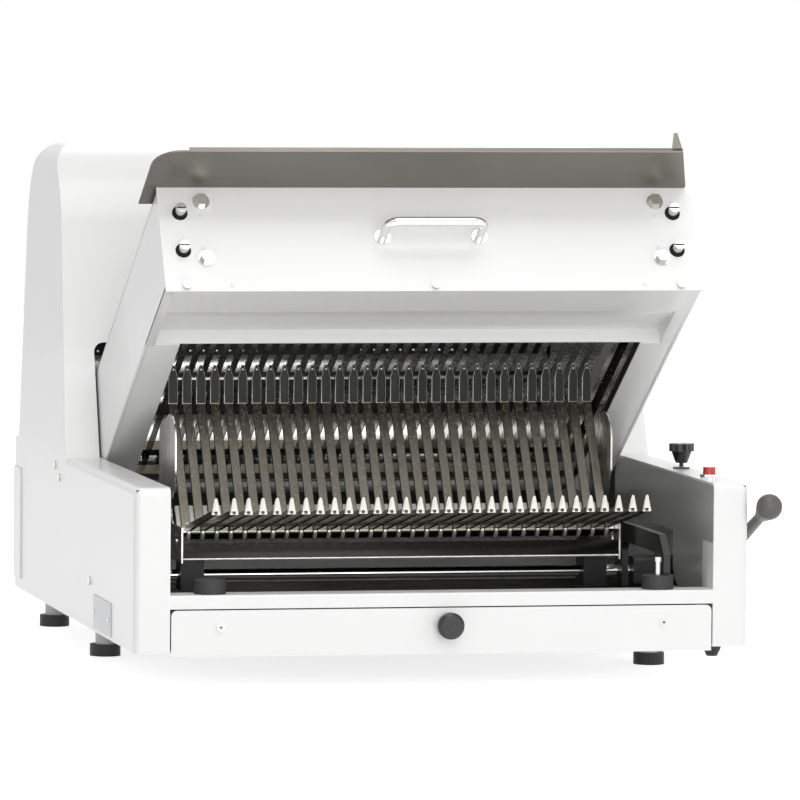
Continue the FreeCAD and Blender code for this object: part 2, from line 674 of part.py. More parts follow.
sill = new_body("sill")
fold = new_sketch(sill, "YZ_Plane")
sill_top = s.sill_low + s.sill_tall
add_polygon(fold, [
    (0, s.sill_low), (s.sheet, s.sill_low), (s.sheet, sill_top - s.sheet),
    (s.sill_deep - s.sheet, sill_top - s.sheet), (s.sill_deep - s.sheet, s.sill_low),
    (s.sill_deep, s.sill_low), (s.sill_deep, sill_top), (0, sill_top)])
add_pad(sill, fold, arm_inner * 2, midplane=True)
add_fillet(sill, "X", [(0, sill_top)], 1.5)

bumpers = new_body("bumpers")
bumper_right = arm_inner - s.bumper_right_in
bumper_spots = [(-arm_inner + s.bumper_left_in, s.bumper_y), (bumper_right, s.bumper_y)]
add_cylinders(bumpers, "XY_Plane", sill_top, bumper_spots, s.bumper_radius, s.bumper_tall)

stop = new_body("stop_screw")
bumper_top = sill_top + s.bumper_tall
shank = new_sketch(stop, "XZ_Plane")
add_polygon(shank, [
    (0, 0), (s.stop_screw_radius, 0), (s.stop_screw_radius, s.stop_screw_tall - s.stop_head_tall),
    (s.stop_head_radius, s.stop_screw_tall - s.stop_head_tall),
    (s.stop_head_radius, s.stop_screw_tall), (0, s.stop_screw_tall)])
add_revolution(stop, shank)
place(stop, bumper_right, s.bumper_y, bumper_top)

foot_x = half_width - s.foot_in
foot_rear_y = s.base_depth - s.foot_rear
foot_spots = [
    (-foot_x, s.foot_left_y), (-foot_x, foot_rear_y),
    (half_width - s.foot_right_in, s.foot_right_y), (foot_x, foot_rear_y)]
foot_pads = new_body("foot_pads")
add_cylinders(foot_pads, "XY_Plane", 0, foot_spots, s.foot_radius, s.foot_tall)
foot_spacers = new_body("foot_spacers")
add_cylinders(foot_spacers, "XY_Plane", s.foot_tall, foot_spots, s.spacer_radius,
              s.base_low - s.foot_tall)

buffer = new_body("buffer")
dome = new_sketch(buffer, "XZ_Plane")
add_polygon(dome, [
    (0, 0), (s.buffer_radius, 0), (s.buffer_radius, -s.buffer_tall * 0.55),
    (s.buffer_radius * 0.6, -s.buffer_tall), (0, -s.buffer_tall)])
add_revolution(buffer, dome)
place(buffer, half_width - s.buffer_in, s.buffer_y, s.base_low)

bearings = new_body("shaft_bearings")
block_long = s.arm_width - s.sheet + s.block_out
race = new_sketch(bearings, "YZ_Plane", half_width - s.sheet)
block_half = s.block_tall / 2
add_rectangle(race, s.shaft_y - block_half, s.shaft_z - block_half,
              s.shaft_y + block_half, s.shaft_z + block_half)
add_pad(bearings, race, block_long, True)
block_spots = [(s.shaft_y + i * block_half, s.shaft_z + j * block_half)
               for i in (-1, 1) for j in (-1, 1)]
add_fillet(bearings, "X", block_spots, s.block_edge)
race_bore = new_sketch(bearings, "YZ_Plane", half_width - s.sheet)
add_circle(race_bore, s.shaft_y, s.shaft_z, s.shaft_radius + s.running_clearance)
add_pocket(bearings, race_bore, block_long)
add_mirror(bearings)

brackets = new_body("pivot_brackets")
bracket = new_sketch(brackets, "YZ_Plane", arm_inner + s.bracket_inset)
lift = s.pivot_z - inside_low
add_polygon(bracket, [
    (s.pivot_y - s.bracket_half, inside_low), (s.pivot_y + s.bracket_half, inside_low),
    (s.pivot_y + s.bracket_eye, s.pivot_z), (s.pivot_y + s.bracket_eye, inside_high),
    (s.pivot_y - s.bracket_eye, inside_high), (s.pivot_y - s.bracket_eye, s.pivot_z)])
plate_pad = add_pad(brackets, bracket, s.bracket_thick)
bore = new_sketch(brackets, "YZ_Plane", arm_inner + s.bracket_inset)
add_circle(bore, s.pivot_y, s.pivot_z, s.pivot_radius)
bore_cut = add_pocket(brackets, bore, s.bracket_thick, True)
add_mirror(brackets, [plate_pad, bore_cut])

pivot = new_body("pivot_shaft")
rod = new_sketch(pivot, "YZ_Plane")
add_circle(rod, s.pivot_y, s.pivot_z, s.pivot_radius)
add_pad(pivot, rod, (arm_inner + s.bracket_inset + s.bracket_thick) * 2, midplane=True)

blank = new_body("blank_plate")
face = new_sketch(blank, "YZ_Plane", -half_width)
add_rectangle(face, s.blank_front, s.blank_low, s.blank_rear, s.blank_high)
add_pad(blank, face, s.blank_thick, True)
rivets = new_body("plate_rivets")
rivet_z = (s.blank_low + s.blank_high) / 2
rivet_spots = [(s.blank_front + s.rivet_in_front, rivet_z), (s.blank_rear - s.rivet_in_rear, rivet_z)]
add_cylinders(rivets, "YZ_Plane", -half_width - s.blank_thick, rivet_spots, s.rivet_radius,
              s.rivet_tall, True)

screws = new_body("side_screws")
screw_spots = [
    (s.side_screw_fore, s.side_screw_low),
    (s.arm_length + s.cover_screw_in, s.arm_top - s.cover_screw_drop),
    (s.arm_length + s.plug_in, s.arm_top - s.plug_drop)]
add_cylinders(screws, "YZ_Plane", -half_width, screw_spots, s.small_head_radius,
              s.small_head_tall, True)

knob_x = half_width - s.knob_in
washer = new_body("knob_washer")
add_cylinders(washer, "XY_Plane", s.arm_top, [(knob_x, s.knob_y)], s.knob_washer_radius,
              s.washer_thick)

knob = new_body("star_knob")
taper = new_sketch(knob, "XZ_Plane")
lobe_low = s.knob_tall - s.knob_head
core_radius = s.knob_radius - s.knob_lobe
add_polygon(taper, [
    (0, 0), (s.knob_stem_radius, 0), (s.knob_stem_radius, s.knob_stem),
    (s.knob_base_radius, s.knob_stem), (core_radius + s.knob_lobe / 2, lobe_low),
    (core_radius, s.knob_tall), (0, s.knob_tall)])
add_revolution(knob, taper)
lobe = add_cylinders(knob, "XY_Plane", lobe_low, [(core_radius, 0)], s.knob_lobe, s.knob_head)
lobes = knob.newObject("PartDesign::PolarPattern", "star_knob_lobes")
lobes.Originals = [lobe]
lobes.Axis = (plane_of(knob, "Z_Axis"), [""])
lobes.Angle = 360
lobes.Occurrences = 6
knob.Tip = lobes
place(knob, knob_x, s.knob_y, s.arm_top + s.washer_thick + s.runner_gap)

button_x = half_width - s.button_in
ring = new_body("button_ring")
collar = new_sketch(ring, "XY_Plane", s.arm_top)
add_circle(collar, button_x, s.button_y, s.ring_radius)
add_circle(collar, button_x, s.button_y, s.button_radius + s.runner_gap)
add_pad(ring, collar, s.ring_tall)

button = new_body("push_button")
add_cylinders(button, "XY_Plane", s.button_travel + s.runner_gap, [(0, 0)], s.button_radius,
              s.ring_tall + s.button_tall - s.button_travel)
place(button, button_x, s.button_y, s.arm_top)

# ---------------------------------------------------------------------------- crumb tray
tray_top = s.sill_low - s.tray_gap
pan_low = inside_low + s.runner_gap
tray_half = arm_inner - s.tray_in
pan = new_body("tray_pan")
outer = new_sketch(pan, "XY_Plane", pan_low)
add_rectangle(outer, -tray_half, s.tray_front_thick, tray_half, s.tray_depth)
add_pad(pan, outer, s.tray_high - pan_low)
well = new_sketch(pan, "XY_Plane", pan_low + s.tray_wall)
add_rectangle(well, -tray_half + s.tray_wall, s.tray_front_thick + s.tray_wall,
              tray_half - s.tray_wall, s.tray_depth - s.tray_wall)
add_pocket(pan, well, s.tray_high - pan_low, True)

front = new_body("tray_front")
apron = new_sketch(front, "XZ_Plane")
apron_x = arm_inner - s.tray_gap
add_rectangle(apron, -apron_x, s.tray_low, apron_x, tray_top)
add_pad(front, apron, s.tray_front_thick, True)
add_fillet(front, "Y", [(-apron_x, tray_top), (apron_x, tray_top)], s.tray_corner)

pull = new_body("tray_knob")
turned = new_sketch(pull, "XY_Plane")
add_polygon(turned, [
    (0, 0), (s.tray_knob_neck + 2, 0), (s.tray_knob_neck, -s.tray_knob_out * 0.35),
    (s.tray_knob_radius, -s.tray_knob_out * 0.55), (s.tray_knob_radius, -s.tray_knob_out * 0.85),
    (s.tray_knob_radius * 0.75, -s.tray_knob_out), (0, -s.tray_knob_out)])
add_revolution(pull, turned)
place(pull, s.tray_knob_x, 0, s.tray_knob_z)

tray_screws = new_body("tray_screws")
tray_screw_x = arm_inner - s.tray_screw_in
tray_spots = [(-tray_screw_x, s.tray_knob_z), (tray_screw_x, s.tray_knob_z)]
add_cylinders(tray_screws, "XZ_Plane", 0, tray_spots, s.small_head_radius, s.small_head_tall)

# ---------------------------------------------------------------------------------- head
panel = head_body("head_panel")
face = new_sketch(panel, "XZ_Plane", s.head_reach)
add_rectangle(face, -head_half, -s.panel_low, head_half, s.panel_high)
add_pad(panel, face, s.head_sheet, True)

wings = head_body("wings")
flank = new_sketch(wings, "YZ_Plane", head_half - s.head_sheet)
wing_front = s.head_reach - s.head_sheet
add_polygon(flank, [
    (-wing_front, -s.wing_low), (-wing_front, s.wing_high), (-s.flange_start, s.wing_high),
    (0, s.wing_root_high), (s.wing_tail, s.wing_root_high * 0.5),
    (s.wing_tail, -s.wing_root_high * 0.7), (-s.flange_start, -s.wing_low)])
flank_pad = add_pad(wings, flank, s.head_sheet)
eye = new_sketch(wings, "YZ_Plane", head_half - s.head_sheet)
add_circle(eye, 0, 0, s.pivot_radius + s.running_clearance)
eye_cut = add_pocket(wings, eye, s.head_sheet, True)
shelf = new_sketch(wings, "XY_Plane", -s.wing_low)
throat_reach = s.head_reach - s.throat_deep
lip_rear = -throat_reach + s.throat_sheet
add_rectangle(shelf, head_half - s.flange_wide, lip_rear, head_half - s.head_sheet, -s.flange_start)
shelf_pad = add_pad(wings, shelf, s.head_sheet)
add_mirror(wings, [flank_pad, eye_cut, shelf_pad])

tube = head_body("pivot_tube")
bush = new_sketch(tube, "YZ_Plane")
add_circle(bush, 0, 0, s.pivot_tube_radius)
add_circle(bush, 0, 0, s.pivot_radius + s.running_clearance)
add_pad(tube, bush, (head_half - s.head_sheet) * 2, midplane=True)

throat = head_body("throat_plate")
bend = new_sketch(throat, "YZ_Plane")
front_z = -s.panel_low
rear_z = -s.throat_drop
add_polygon(bend, [
    (-wing_front, front_z), (-throat_reach, rear_z),
    (-throat_reach, rear_z - s.throat_lip), (lip_rear, rear_z - s.throat_lip),
    (lip_rear, rear_z + s.throat_sheet), (-wing_front, front_z + s.throat_sheet)])
add_pad(throat, bend, (head_half - s.throat_in) * 2, midplane=True)

guard = head_body("guard")
guard_left = head_half + s.guard_over
guard_right = head_half - s.guard_in
guard_reach = s.head_reach + s.guard_out
guard_rear = s.head_reach - s.guard_back
guard_step = s.head_reach - s.guard_notch
roof = new_sketch(guard, "XY_Plane", s.panel_high)
add_polygon(roof, [
    (-guard_left, -guard_reach), (guard_right, -guard_reach), (guard_right, -guard_rear),
    (-head_half, -guard_rear), (-head_half, -guard_step), (-guard_left, -guard_step)])
add_pad(guard, roof, s.guard_thick)
add_fillet(guard, "Z", [(-guard_left, -guard_reach)], s.guard_corner)
hem = new_sketch(guard, "YZ_Plane", guard_right)
hem_top = s.panel_high + s.guard_thick
add_rectangle(hem, -guard_reach, hem_top, -guard_reach + s.guard_thick, hem_top + s.guard_hem)
add_pad(guard, hem, guard_right + guard_left - s.guard_corner * 1.2, True)
drop = new_sketch(guard, "YZ_Plane", guard_right)
drop_low = s.panel_high - s.guard_drop
nose = s.guard_drop_corner
drop_rear = -s.head_reach - s.plunger_out - s.guard_thick
add_polygon(drop, [
    (-guard_reach, s.panel_high), (-guard_reach, drop_low + nose), (-guard_reach + nose, drop_low),
    (drop_rear, drop_low), (drop_rear, s.panel_high)])
add_pad(guard, drop, s.guard_thick, True)
ear = new_sketch(guard, "XZ_Plane", guard_reach)
add_polygon(ear, [
    (guard_right - s.ear_wide, hem_top), (guard_right, hem_top),
    (guard_right - s.ear_wide * 0.3, hem_top + s.ear_tall)])
add_pad(guard, ear, s.guard_thick, True)

handle = head_body("handle")
path = new_sketch(handle, "XY_Plane", -s.handle_level)
reach = s.head_reach + s.handle_out
spots = [(-s.handle_half, -s.head_reach), (-s.handle_half, -reach), (s.handle_half, -reach),
         (s.handle_half, -s.head_reach)]
vectors = [FreeCAD.Vector(u.value, v.value, 0) for u, v in spots]
bend_value = s.handle_bend.value
arc_left = FreeCAD.Vector(vectors[1].x + bend_value, vectors[1].y + bend_value, 0)
arc_right = FreeCAD.Vector(vectors[2].x - bend_value, vectors[2].y + bend_value, 0)
up = FreeCAD.Vector(0, 0, 1)
path.addGeometry(Part.LineSegment(vectors[0], FreeCAD.Vector(vectors[1].x, arc_left.y, 0)), False)
path.addGeometry(Part.ArcOfCircle(Part.Circle(arc_left, up, bend_value), math.pi, 1.5 * math.pi), False)
path.addGeometry(Part.LineSegment(FreeCAD.Vector(arc_left.x, vectors[1].y, 0),
                                  FreeCAD.Vector(arc_right.x, vectors[1].y, 0)), False)
path.addGeometry(Part.ArcOfCircle(Part.Circle(arc_right, up, bend_value), -0.5 * math.pi, 0), False)
path.addGeometry(Part.LineSegment(FreeCAD.Vector(vectors[2].x, arc_right.y, 0), vectors[3]), False)
for a, pa, b, pb in ((0, 2, 1, 1), (1, 2, 2, 1), (2, 2, 3, 1), (3, 2, 4, 1)):
    path.addConstraint(Sketcher.Constraint("Tangent", a, pa, b, pb))
pin_point(path, 0, 1, *spots[0])
pin_point(path, 4, 2, *spots[3])
for upright in range(0, 5, 4):
    path.addConstraint(Sketcher.Constraint("Vertical", upright))
path.addConstraint(Sketcher.Constraint("Horizontal", 2))
path.addConstraint(Sketcher.Constraint("Equal", 1, 3))
bend_rule = path.addConstraint(Sketcher.Constraint("Radius", 1, bend_value))
path.setExpression(f"Constraints[{bend_rule}]", s.handle_bend.text)
out_rule = path.addConstraint(Sketcher.Constraint("DistanceY", -1, 1, 2, 1, -reach.value))
path.setExpression(f"Constraints[{out_rule}]", (-reach).text)
round_bar = new_sketch(handle, "XZ_Plane", s.head_reach)
add_circle(round_bar, -s.handle_half, -s.handle_level, s.handle_radius)
sweep = feature(handle, "AdditivePipe", round_bar)
sweep.Spine = (path, ["Edge1", "Edge2", "Edge3", "Edge4", "Edge5"])
doc.recompute()
add_cylinders(handle, "XZ_Plane", s.head_reach,
              [(-s.handle_half, -s.handle_level), (s.handle_half, -s.handle_level)],
              s.handle_collar, s.handle_collar_tall)

bolt_left = -head_half + s.bolt_left_in
bolt_right = head_half - s.bolt_right_in
bolt_spots = [(bolt_left, s.bolt_high), (bolt_left, -s.bolt_low),
              (bolt_right, s.bolt_high), (bolt_right, -s.bolt_low)]
washers = head_body("panel_washers")
add_cylinders(washers, "XZ_Plane", s.head_reach, bolt_spots, s.washer_radius, s.washer_thick)
bolts = head_body("panel_bolts")
hexes = new_sketch(bolts, "XZ_Plane", s.head_reach + s.washer_thick)
corner_reach = s.bolt_flats / cosine(Dim(30, "30")) / 2
for u, v in bolt_spots:
    add_polygon(hexes, [
        (u + corner_reach, v), (u + corner_reach / 2, v + s.bolt_flats / 2),
        (u - corner_reach / 2, v + s.bolt_flats / 2), (u - corner_reach, v),
        (u - corner_reach / 2, v - s.bolt_flats / 2), (u + corner_reach / 2, v - s.bolt_flats / 2)])
add_pad(bolts, hexes, s.bolt_head)

plungers = head_body("plungers")
plunger_x = head_half - s.plunger_in
plunger_spots = [(-plunger_x, s.plunger_high), (-plunger_x, -s.plunger_low),
                 (plunger_x, s.plunger_high), (plunger_x, -s.plunger_low)]
add_cylinders(plungers, "XZ_Plane", s.head_reach, plunger_spots, s.plunger_radius, s.plunger_out)
slots = new_sketch(plungers, "XZ_Plane", s.head_reach + s.plunger_out)
for u, v in plunger_spots:
    add_rectangle(slots, u - s.plunger_radius, v - s.plunger_slot / 2,
                  u + s.plunger_radius, v + s.plunger_slot / 2)
add_pocket(plungers, slots, s.plunger_slot)

caps = head_body("cap_screws")
add_cylinders(caps, "XZ_Plane", s.head_reach,
              [(s.cap_in - head_half, -s.cap_low), (0, -s.cap_low), (head_half - s.cap_in, -s.cap_low)],
              s.cap_radius, s.cap_tall)

# -------------------------------------------------------------------------- blade frames
blade_top = -s.blade_drop + s.blade_tall
band = s.bar_gap
bar_front = s.head_reach - s.bar_setback


def blade_frame(letter, up, count, first):
    """One reciprocating frame: two rails, two bars and every second blade."""
    if up:
        low = blade_top + band
        high = low + s.bar_tall
    else:
        high = -s.blade_drop - band
        low = high - s.bar_tall
    rails = head_body(f"frame_rails_{letter}")
    rail = new_sketch(rails, "YZ_Plane", rail_inner)
    add_rectangle(rail, -bar_front, low, -s.bar_rear, high)
    add_mirror(rails, [add_pad(rails, rail, s.rail_wide)])
    bars = head_body(f"frame_bars_{letter}")
    bar = new_sketch(bars, "YZ_Plane")
    add_rectangle(bar, -bar_front, low, -bar_front + s.bar_deep, high)
    add_rectangle(bar, -s.bar_rear - s.bar_deep, low, -s.bar_rear, high)
    add_pad(bars, bar, rail_inner * 2, midplane=True)
    blades = head_body(f"blades_{letter}")
    blade = new_sketch(blades, "YZ_Plane", first - s.blade_thick / 2)
    front_tab = -bar_front - s.blade_tab_width
    rear_tab = -s.bar_rear + s.blade_tab_width
    if up:
        tab = low + s.blade_tab
        add_polygon(blade, [
            (front_tab, -s.blade_drop), (rear_tab, -s.blade_drop), (rear_tab, tab),
            (-s.bar_rear, tab), (-s.bar_rear, blade_top), (-bar_front, blade_top),
            (-bar_front, tab), (front_tab, tab)])
    else:
        tab = high - s.blade_tab
        add_polygon(blade, [
            (front_tab, blade_top), (rear_tab, blade_top), (rear_tab, tab),
            (-s.bar_rear, tab), (-s.bar_rear, -s.blade_drop), (-bar_front, -s.blade_drop),
            (-bar_front, tab), (front_tab, tab)])
    pad = add_pad(blades, blade, s.blade_thick)
    add_row(blades, [pad], s.blade_pitch * 2, count)


first_blade = -blade_band
count_a = (s.blade_count + 1) / 2
count_b = (s.blade_count - 1) / 2
blade_frame("a", True, count_a, first_blade)
blade_frame("b", False, count_b, first_blade + s.blade_pitch)

guides = head_body("guide_rails")
guide = new_sketch(guides, "YZ_Plane", rail_outer + s.runner_gap)
guide_low = -s.blade_drop - band - s.bar_tall
guide_high = blade_top + band + s.bar_tall
add_rectangle(guide, -bar_front - s.guide_margin, guide_low, -s.bar_rear + s.guide_margin, guide_high)
guide_pad = add_pad(guides, guide, head_half - s.head_sheet - rail_outer - s.runner_gap)
add_mirror(guides, [guide_pad])

# -------------------------------------------------------------------------------- cradle
shaft = cradle_body("cross_shaft")
rod = new_sketch(shaft, "YZ_Plane", -(half_width - s.sheet - 1))
add_circle(rod, 0, 0, s.shaft_radius)
add_pad(shaft, rod, half_width - s.sheet - 1 + lever_x + s.lever_hub_wide / 2)

cheek_left = comb_first - s.cheek_gap
comb_span = (s.blade_count - 1) * s.blade_pitch
cheek_span = comb_span + s.cheek_gap * 2
pair = Dim(2, "2")

clamps = cradle_body("shaft_clamps")
clamp_left = comb_first + s.clamp_in - s.clamp_wide / 2
clamp = new_sketch(clamps, "YZ_Plane", clamp_left)
add_rectangle(clamp, -s.clamp_deep / 2, -s.clamp_low, s.clamp_deep / 2, s.shelf_level)
clamp_pad = add_pad(clamps, clamp, s.clamp_wide)
clamp_bore = new_sketch(clamps, "YZ_Plane", clamp_left)
add_circle(clamp_bore, 0, 0, s.shaft_radius + s.slip)
clamp_cut = add_pocket(clamps, clamp_bore, s.clamp_wide, True)
add_row(clamps, [clamp_pad, clamp_cut], comb_span - s.clamp_in * 2, pair)

shelf_left = cheek_left + s.cheek_thick / 2
shelf_long = cheek_span - s.cheek_thick
shelf = cradle_body("comb_shelf")
board = new_sketch(shelf, "YZ_Plane", shelf_left)
shelf_top = s.shelf_level + s.shelf_thick
add_rectangle(board, -s.shelf_front, s.shelf_level, s.clamp_deep / 2, shelf_top)
add_pad(shelf, board, shelf_long)

root = cradle_body("root_rod")
rod = new_sketch(root, "YZ_Plane", shelf_left - s.cheek_thick * 2)
add_circle(rod, -s.root_y, s.root_z, s.root_radius)
add_pad(root, rod, shelf_long + s.cheek_thick * 4)

fingers = cradle_body("fingers")
finger = new_sketch(fingers, "YZ_Plane", comb_first - s.finger_thick / 2)
rise = s.finger_rise
half_tall = s.finger_tall / 2
tip_y = -s.root_y - s.finger_long * cosine(rise)
tip_z = s.root_z + s.finger_long * sine(rise)
neck_y = tip_y + s.finger_tip_long * cosine(rise)
neck_z = tip_z - s.finger_tip_long * sine(rise)
add_polygon(finger, [
    (-s.root_y, s.root_z + half_tall), (neck_y, neck_z + half_tall * 0.7),
    (tip_y + 1.5, tip_z + s.finger_tip), (tip_y, tip_z + s.finger_tip),
    (tip_y, tip_z - half_tall * 0.6), (-s.root_y, s.root_z - half_tall)])
finger_pad = add_pad(fingers, finger, s.finger_thick)
eye = new_sketch(fingers, "YZ_Plane", comb_first - s.finger_thick / 2)
add_circle(eye, -s.root_y, s.root_z, s.finger_eye)
eye_pad = add_pad(fingers, eye, s.finger_thick)
hole = new_sketch(fingers, "YZ_Plane", comb_first - s.finger_thick / 2)
add_circle(hole, -s.root_y, s.root_z, s.root_radius + s.slip)
hole_cut = add_pocket(fingers, hole, s.finger_thick, True)
add_row(fingers, [finger_pad, eye_pad, hole_cut], s.blade_pitch, s.blade_count)

tubes = cradle_body("spacer_tubes")
tube_start = comb_first + s.finger_thick / 2
sleeve = new_sketch(tubes, "YZ_Plane", tube_start)
add_circle(sleeve, -s.root_y, s.root_z, s.spacer_tube_radius)
add_circle(sleeve, -s.root_y, s.root_z, s.root_radius + s.slip)
sleeve_pad = add_pad(tubes, sleeve, s.blade_pitch - s.finger_thick)
add_row(tubes, [sleeve_pad], s.blade_pitch, s.blade_count - 1)

strips = cradle_body("strips")
lean = s.strip_lean
half_t = s.strip_thick / 2
miter = half_t * tangent(lean / 2)
low_y = s.strip_bend_y - s.strip_low_long * sine(lean)
low_z = s.strip_bend_z - s.strip_low_long * cosine(lean)
strip_top = s.strip_bend_z + s.strip_up_long
strip = new_sketch(strips, "YZ_Plane", comb_first)
add_polygon(strip, [
    (low_y - half_t * cosine(lean), low_z + half_t * sine(lean)),
    (low_y + half_t * cosine(lean), low_z - half_t * sine(lean)),
    (s.strip_bend_y + half_t, s.strip_bend_z - miter), (s.strip_bend_y + half_t, strip_top),
    (s.strip_bend_y - half_t, strip_top), (s.strip_bend_y - half_t, s.strip_bend_z + miter)])
strip_pad = add_pad(strips, strip, s.strip_wide, midplane=True)
point = new_sketch(strips, "XZ_Plane", -s.strip_bend_y)
wide = s.strip_wide / 2
for sign in (-1, 1):
    add_polygon(point, [
        (comb_first, strip_top + 1), (comb_first + sign * (wide + 1), strip_top + 1),
        (comb_first + sign * (wide + 1), strip_top - s.strip_point),
        (comb_first + sign * wide, strip_top - s.strip_point), (comb_first, strip_top)])
point_cut = add_pocket(strips, point, s.strip_thick * 3, midplane=True)
add_row(strips, [strip_pad, point_cut], s.blade_pitch, s.blade_count)

bar = cradle_body("comb_bar")
rail = new_sketch(bar, "YZ_Plane", shelf_left)
rear_y = low_y + half_t * cosine(lean)
rear_z = low_z - half_t * sine(lean)
add_polygon(rail, [
    (rear_y, rear_z), (rear_y + s.comb_bar_tall * sine(lean), rear_z + s.comb_bar_tall * cosine(lean)),
    (rear_y + s.comb_bar_tall * sine(lean) + s.comb_bar_thick * cosine(lean),
     rear_z + s.comb_bar_tall * cosine(lean) - s.comb_bar_thick * sine(lean)),
    (rear_y + s.comb_bar_thick * cosine(lean), rear_z - s.comb_bar_thick * sine(lean))])
add_pad(bar, rail, shelf_long)

sides = cradle_body("comb_sides")
cheek = new_sketch(sides, "YZ_Plane", cheek_left - s.cheek_thick / 2)
neck_level = s.root_z + s.finger_eye + s.cheek_foot
foot_level = s.shelf_level - s.cheek_foot
cheek_rear = s.cheek_back, s.cheek_high - s.cheek_shoulder
add_polygon(cheek, [
    (-s.shelf_front, foot_level), (s.clamp_deep / 2, foot_level),
    (s.cheek_back, s.cheek_rear_low), cheek_rear, (s.cheek_neck, s.cheek_high),
    (-s.cheek_fore, s.cheek_high), (-s.cheek_fore, s.cheek_waist),
    (s.cheek_neck, neck_level), (-s.shelf_front, neck_level)])
add_pad(sides, cheek, s.cheek_thick)
add_fillet(sides, "X", [(-s.cheek_fore, s.cheek_high)], s.cheek_round)
add_fillet(sides, "X", [(-s.cheek_fore, s.cheek_waist), cheek_rear,
                        (s.cheek_back, s.cheek_rear_low), (s.cheek_neck, neck_level)], s.cheek_soft)
cheek_hole = new_sketch(sides, "YZ_Plane", cheek_left - s.cheek_thick / 2)
add_circle(cheek_hole, -s.root_y, s.root_z, s.root_radius + s.slip)
add_pocket(sides, cheek_hole, s.cheek_thick, True)
pair_row = add_row(sides, [], cheek_span, pair)
pair_row.TransformMode = "Whole shape"

stop_arm = cradle_body("stop_arm")
arm_line = new_sketch(stop_arm, "YZ_Plane", comb_last + s.stop_arm_gap)
toe_low = bumper_top + s.stop_gap - s.shaft_z
bar_under = s.stop_arm_high - s.stop_arm_wide
hub = s.block_tall / 2
arm_front = -s.stop_arm_long
add_polygon(arm_line, [
    (arm_front, toe_low), (arm_front + s.stop_arm_toe, toe_low),
    (arm_front + s.stop_arm_toe, bar_under), (-hub, bar_under), (-hub, -hub), (hub, -hub),
    (hub, s.stop_arm_high), (arm_front + s.stop_arm_wide, s.stop_arm_high),
    (arm_front, bar_under)])
add_pad(stop_arm, arm_line, s.stop_arm_thick)
add_fillet(stop_arm, "X", [(-hub, bar_under), (hub, s.stop_arm_high),
                           (arm_front + s.stop_arm_toe, bar_under)], s.stop_arm_round)
arm_bore = new_sketch(stop_arm, "YZ_Plane", comb_last + s.stop_arm_gap)
add_circle(arm_bore, 0, 0, s.shaft_radius + s.slip)
add_pocket(stop_arm, arm_bore, s.stop_arm_thick, True)

# Lever: a tapered rod on a hub, with a pear-shaped grip.
lever_hub = doc.addObject("Part::Cylinder", "lever_hub")
bind(lever_hub, "Radius", s.lever_hub_radius)
bind(lever_hub, "Height", s.lever_hub_wide)
lever_hub.Placement = FreeCAD.Placement(FreeCAD.Vector(), FreeCAD.Rotation(FreeCAD.Vector(0, 1, 0), 90))
bind(lever_hub, "Placement.Base.x", lever_x - s.lever_hub_wide / 2)
arm = doc.addObject("Part::Cone", "lever_rod")
bind(arm, "Radius1", s.lever_root_radius)
bind(arm, "Radius2", s.lever_tip_radius)
bind(arm, "Height", s.lever_long - s.grip_long + s.ball_socket)
place(arm, lever_x, 0, 0, 90 - s.lever_rise)
joined = doc.addObject("Part::Fuse", "lever_solid")
joined.Base = lever_hub
joined.Tool = arm
hub_bore = doc.addObject("Part::Cylinder", "lever_bore")
bind(hub_bore, "Radius", s.shaft_radius + s.slip)
bind(hub_bore, "Height", s.lever_hub_wide * 2)
hub_bore.Placement = FreeCAD.Placement(FreeCAD.Vector(), FreeCAD.Rotation(FreeCAD.Vector(0, 1, 0), 90))
bind(hub_bore, "Placement.Base.x", lever_x - s.lever_hub_wide)
lever = doc.addObject("Part::Cut", "lever")
lever.Base = joined
lever.Tool = hub_bore
place(lever, 0, s.shaft_y, s.shaft_z)
nodes.append(lever)

ball = doc.addObject("Part::Sphere", "ball_solid")
bind(ball, "Radius", s.ball_radius)
neck = doc.addObject("Part::Cone", "ball_neck")
bind(neck, "Radius1", s.grip_neck_radius)
bind(neck, "Radius2", s.ball_radius * cosine(s.grip_taper))
bind(neck, "Height", s.grip_long - s.ball_radius * sine(s.grip_taper))
bind(neck, "Placement.Base.z", -s.grip_long)
pear = doc.addObject("Part::Fuse", "ball_with_neck")
pear.Base = ball
pear.Tool = neck
socket = doc.addObject("Part::Cylinder", "ball_bore")
bind(socket, "Radius", s.lever_tip_radius + s.slip * 4)
bind(socket, "Height", s.ball_socket)
bind(socket, "Placement.Base.z", -s.grip_long)
grip = doc.addObject("Part::Cut", "lever_ball")
grip.Base = pear
grip.Tool = socket
place(grip, lever_x, s.shaft_y - s.lever_long * cosine(s.lever_rise),
      s.shaft_z + s.lever_long * sine(s.lever_rise), 90 - s.lever_rise)
nodes.append(grip)

# -------------------------------------------------------------------------------- export
doc.recompute()
for item in doc.Objects:
    if "Invalid" in item.State or "Error" in item.State:
        raise RuntimeError(f"{item.Name}: {item.State}")
for node in nodes:
    if node.Shape.isNull() or not node.Shape.isValid() or not node.Shape.Solids:
        raise RuntimeError(f"{node.Label}: no valid solid")
os.makedirs(NODE_FOLDER, exist_ok=True)
for node in nodes:
    node.Shape.exportStep(os.path.join(NODE_FOLDER, f"{node.Label}.step"))
    box = node.Shape.BoundBox
    print(f"{node.Label:16s} solids {len(node.Shape.Solids):3d}  x {box.XMin:7.1f} {box.XMax:7.1f}"
          f"  y {box.YMin:7.1f} {box.YMax:7.1f}  z {box.ZMin:7.1f} {box.ZMax:7.1f}")
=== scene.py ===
"""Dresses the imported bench-top bread slicer: finishes, trim pieces, studio and camera."""

import logging
import math
from dataclasses import dataclass
from enum import Enum

import bmesh
import bpy
from mathutils import Matrix, Vector

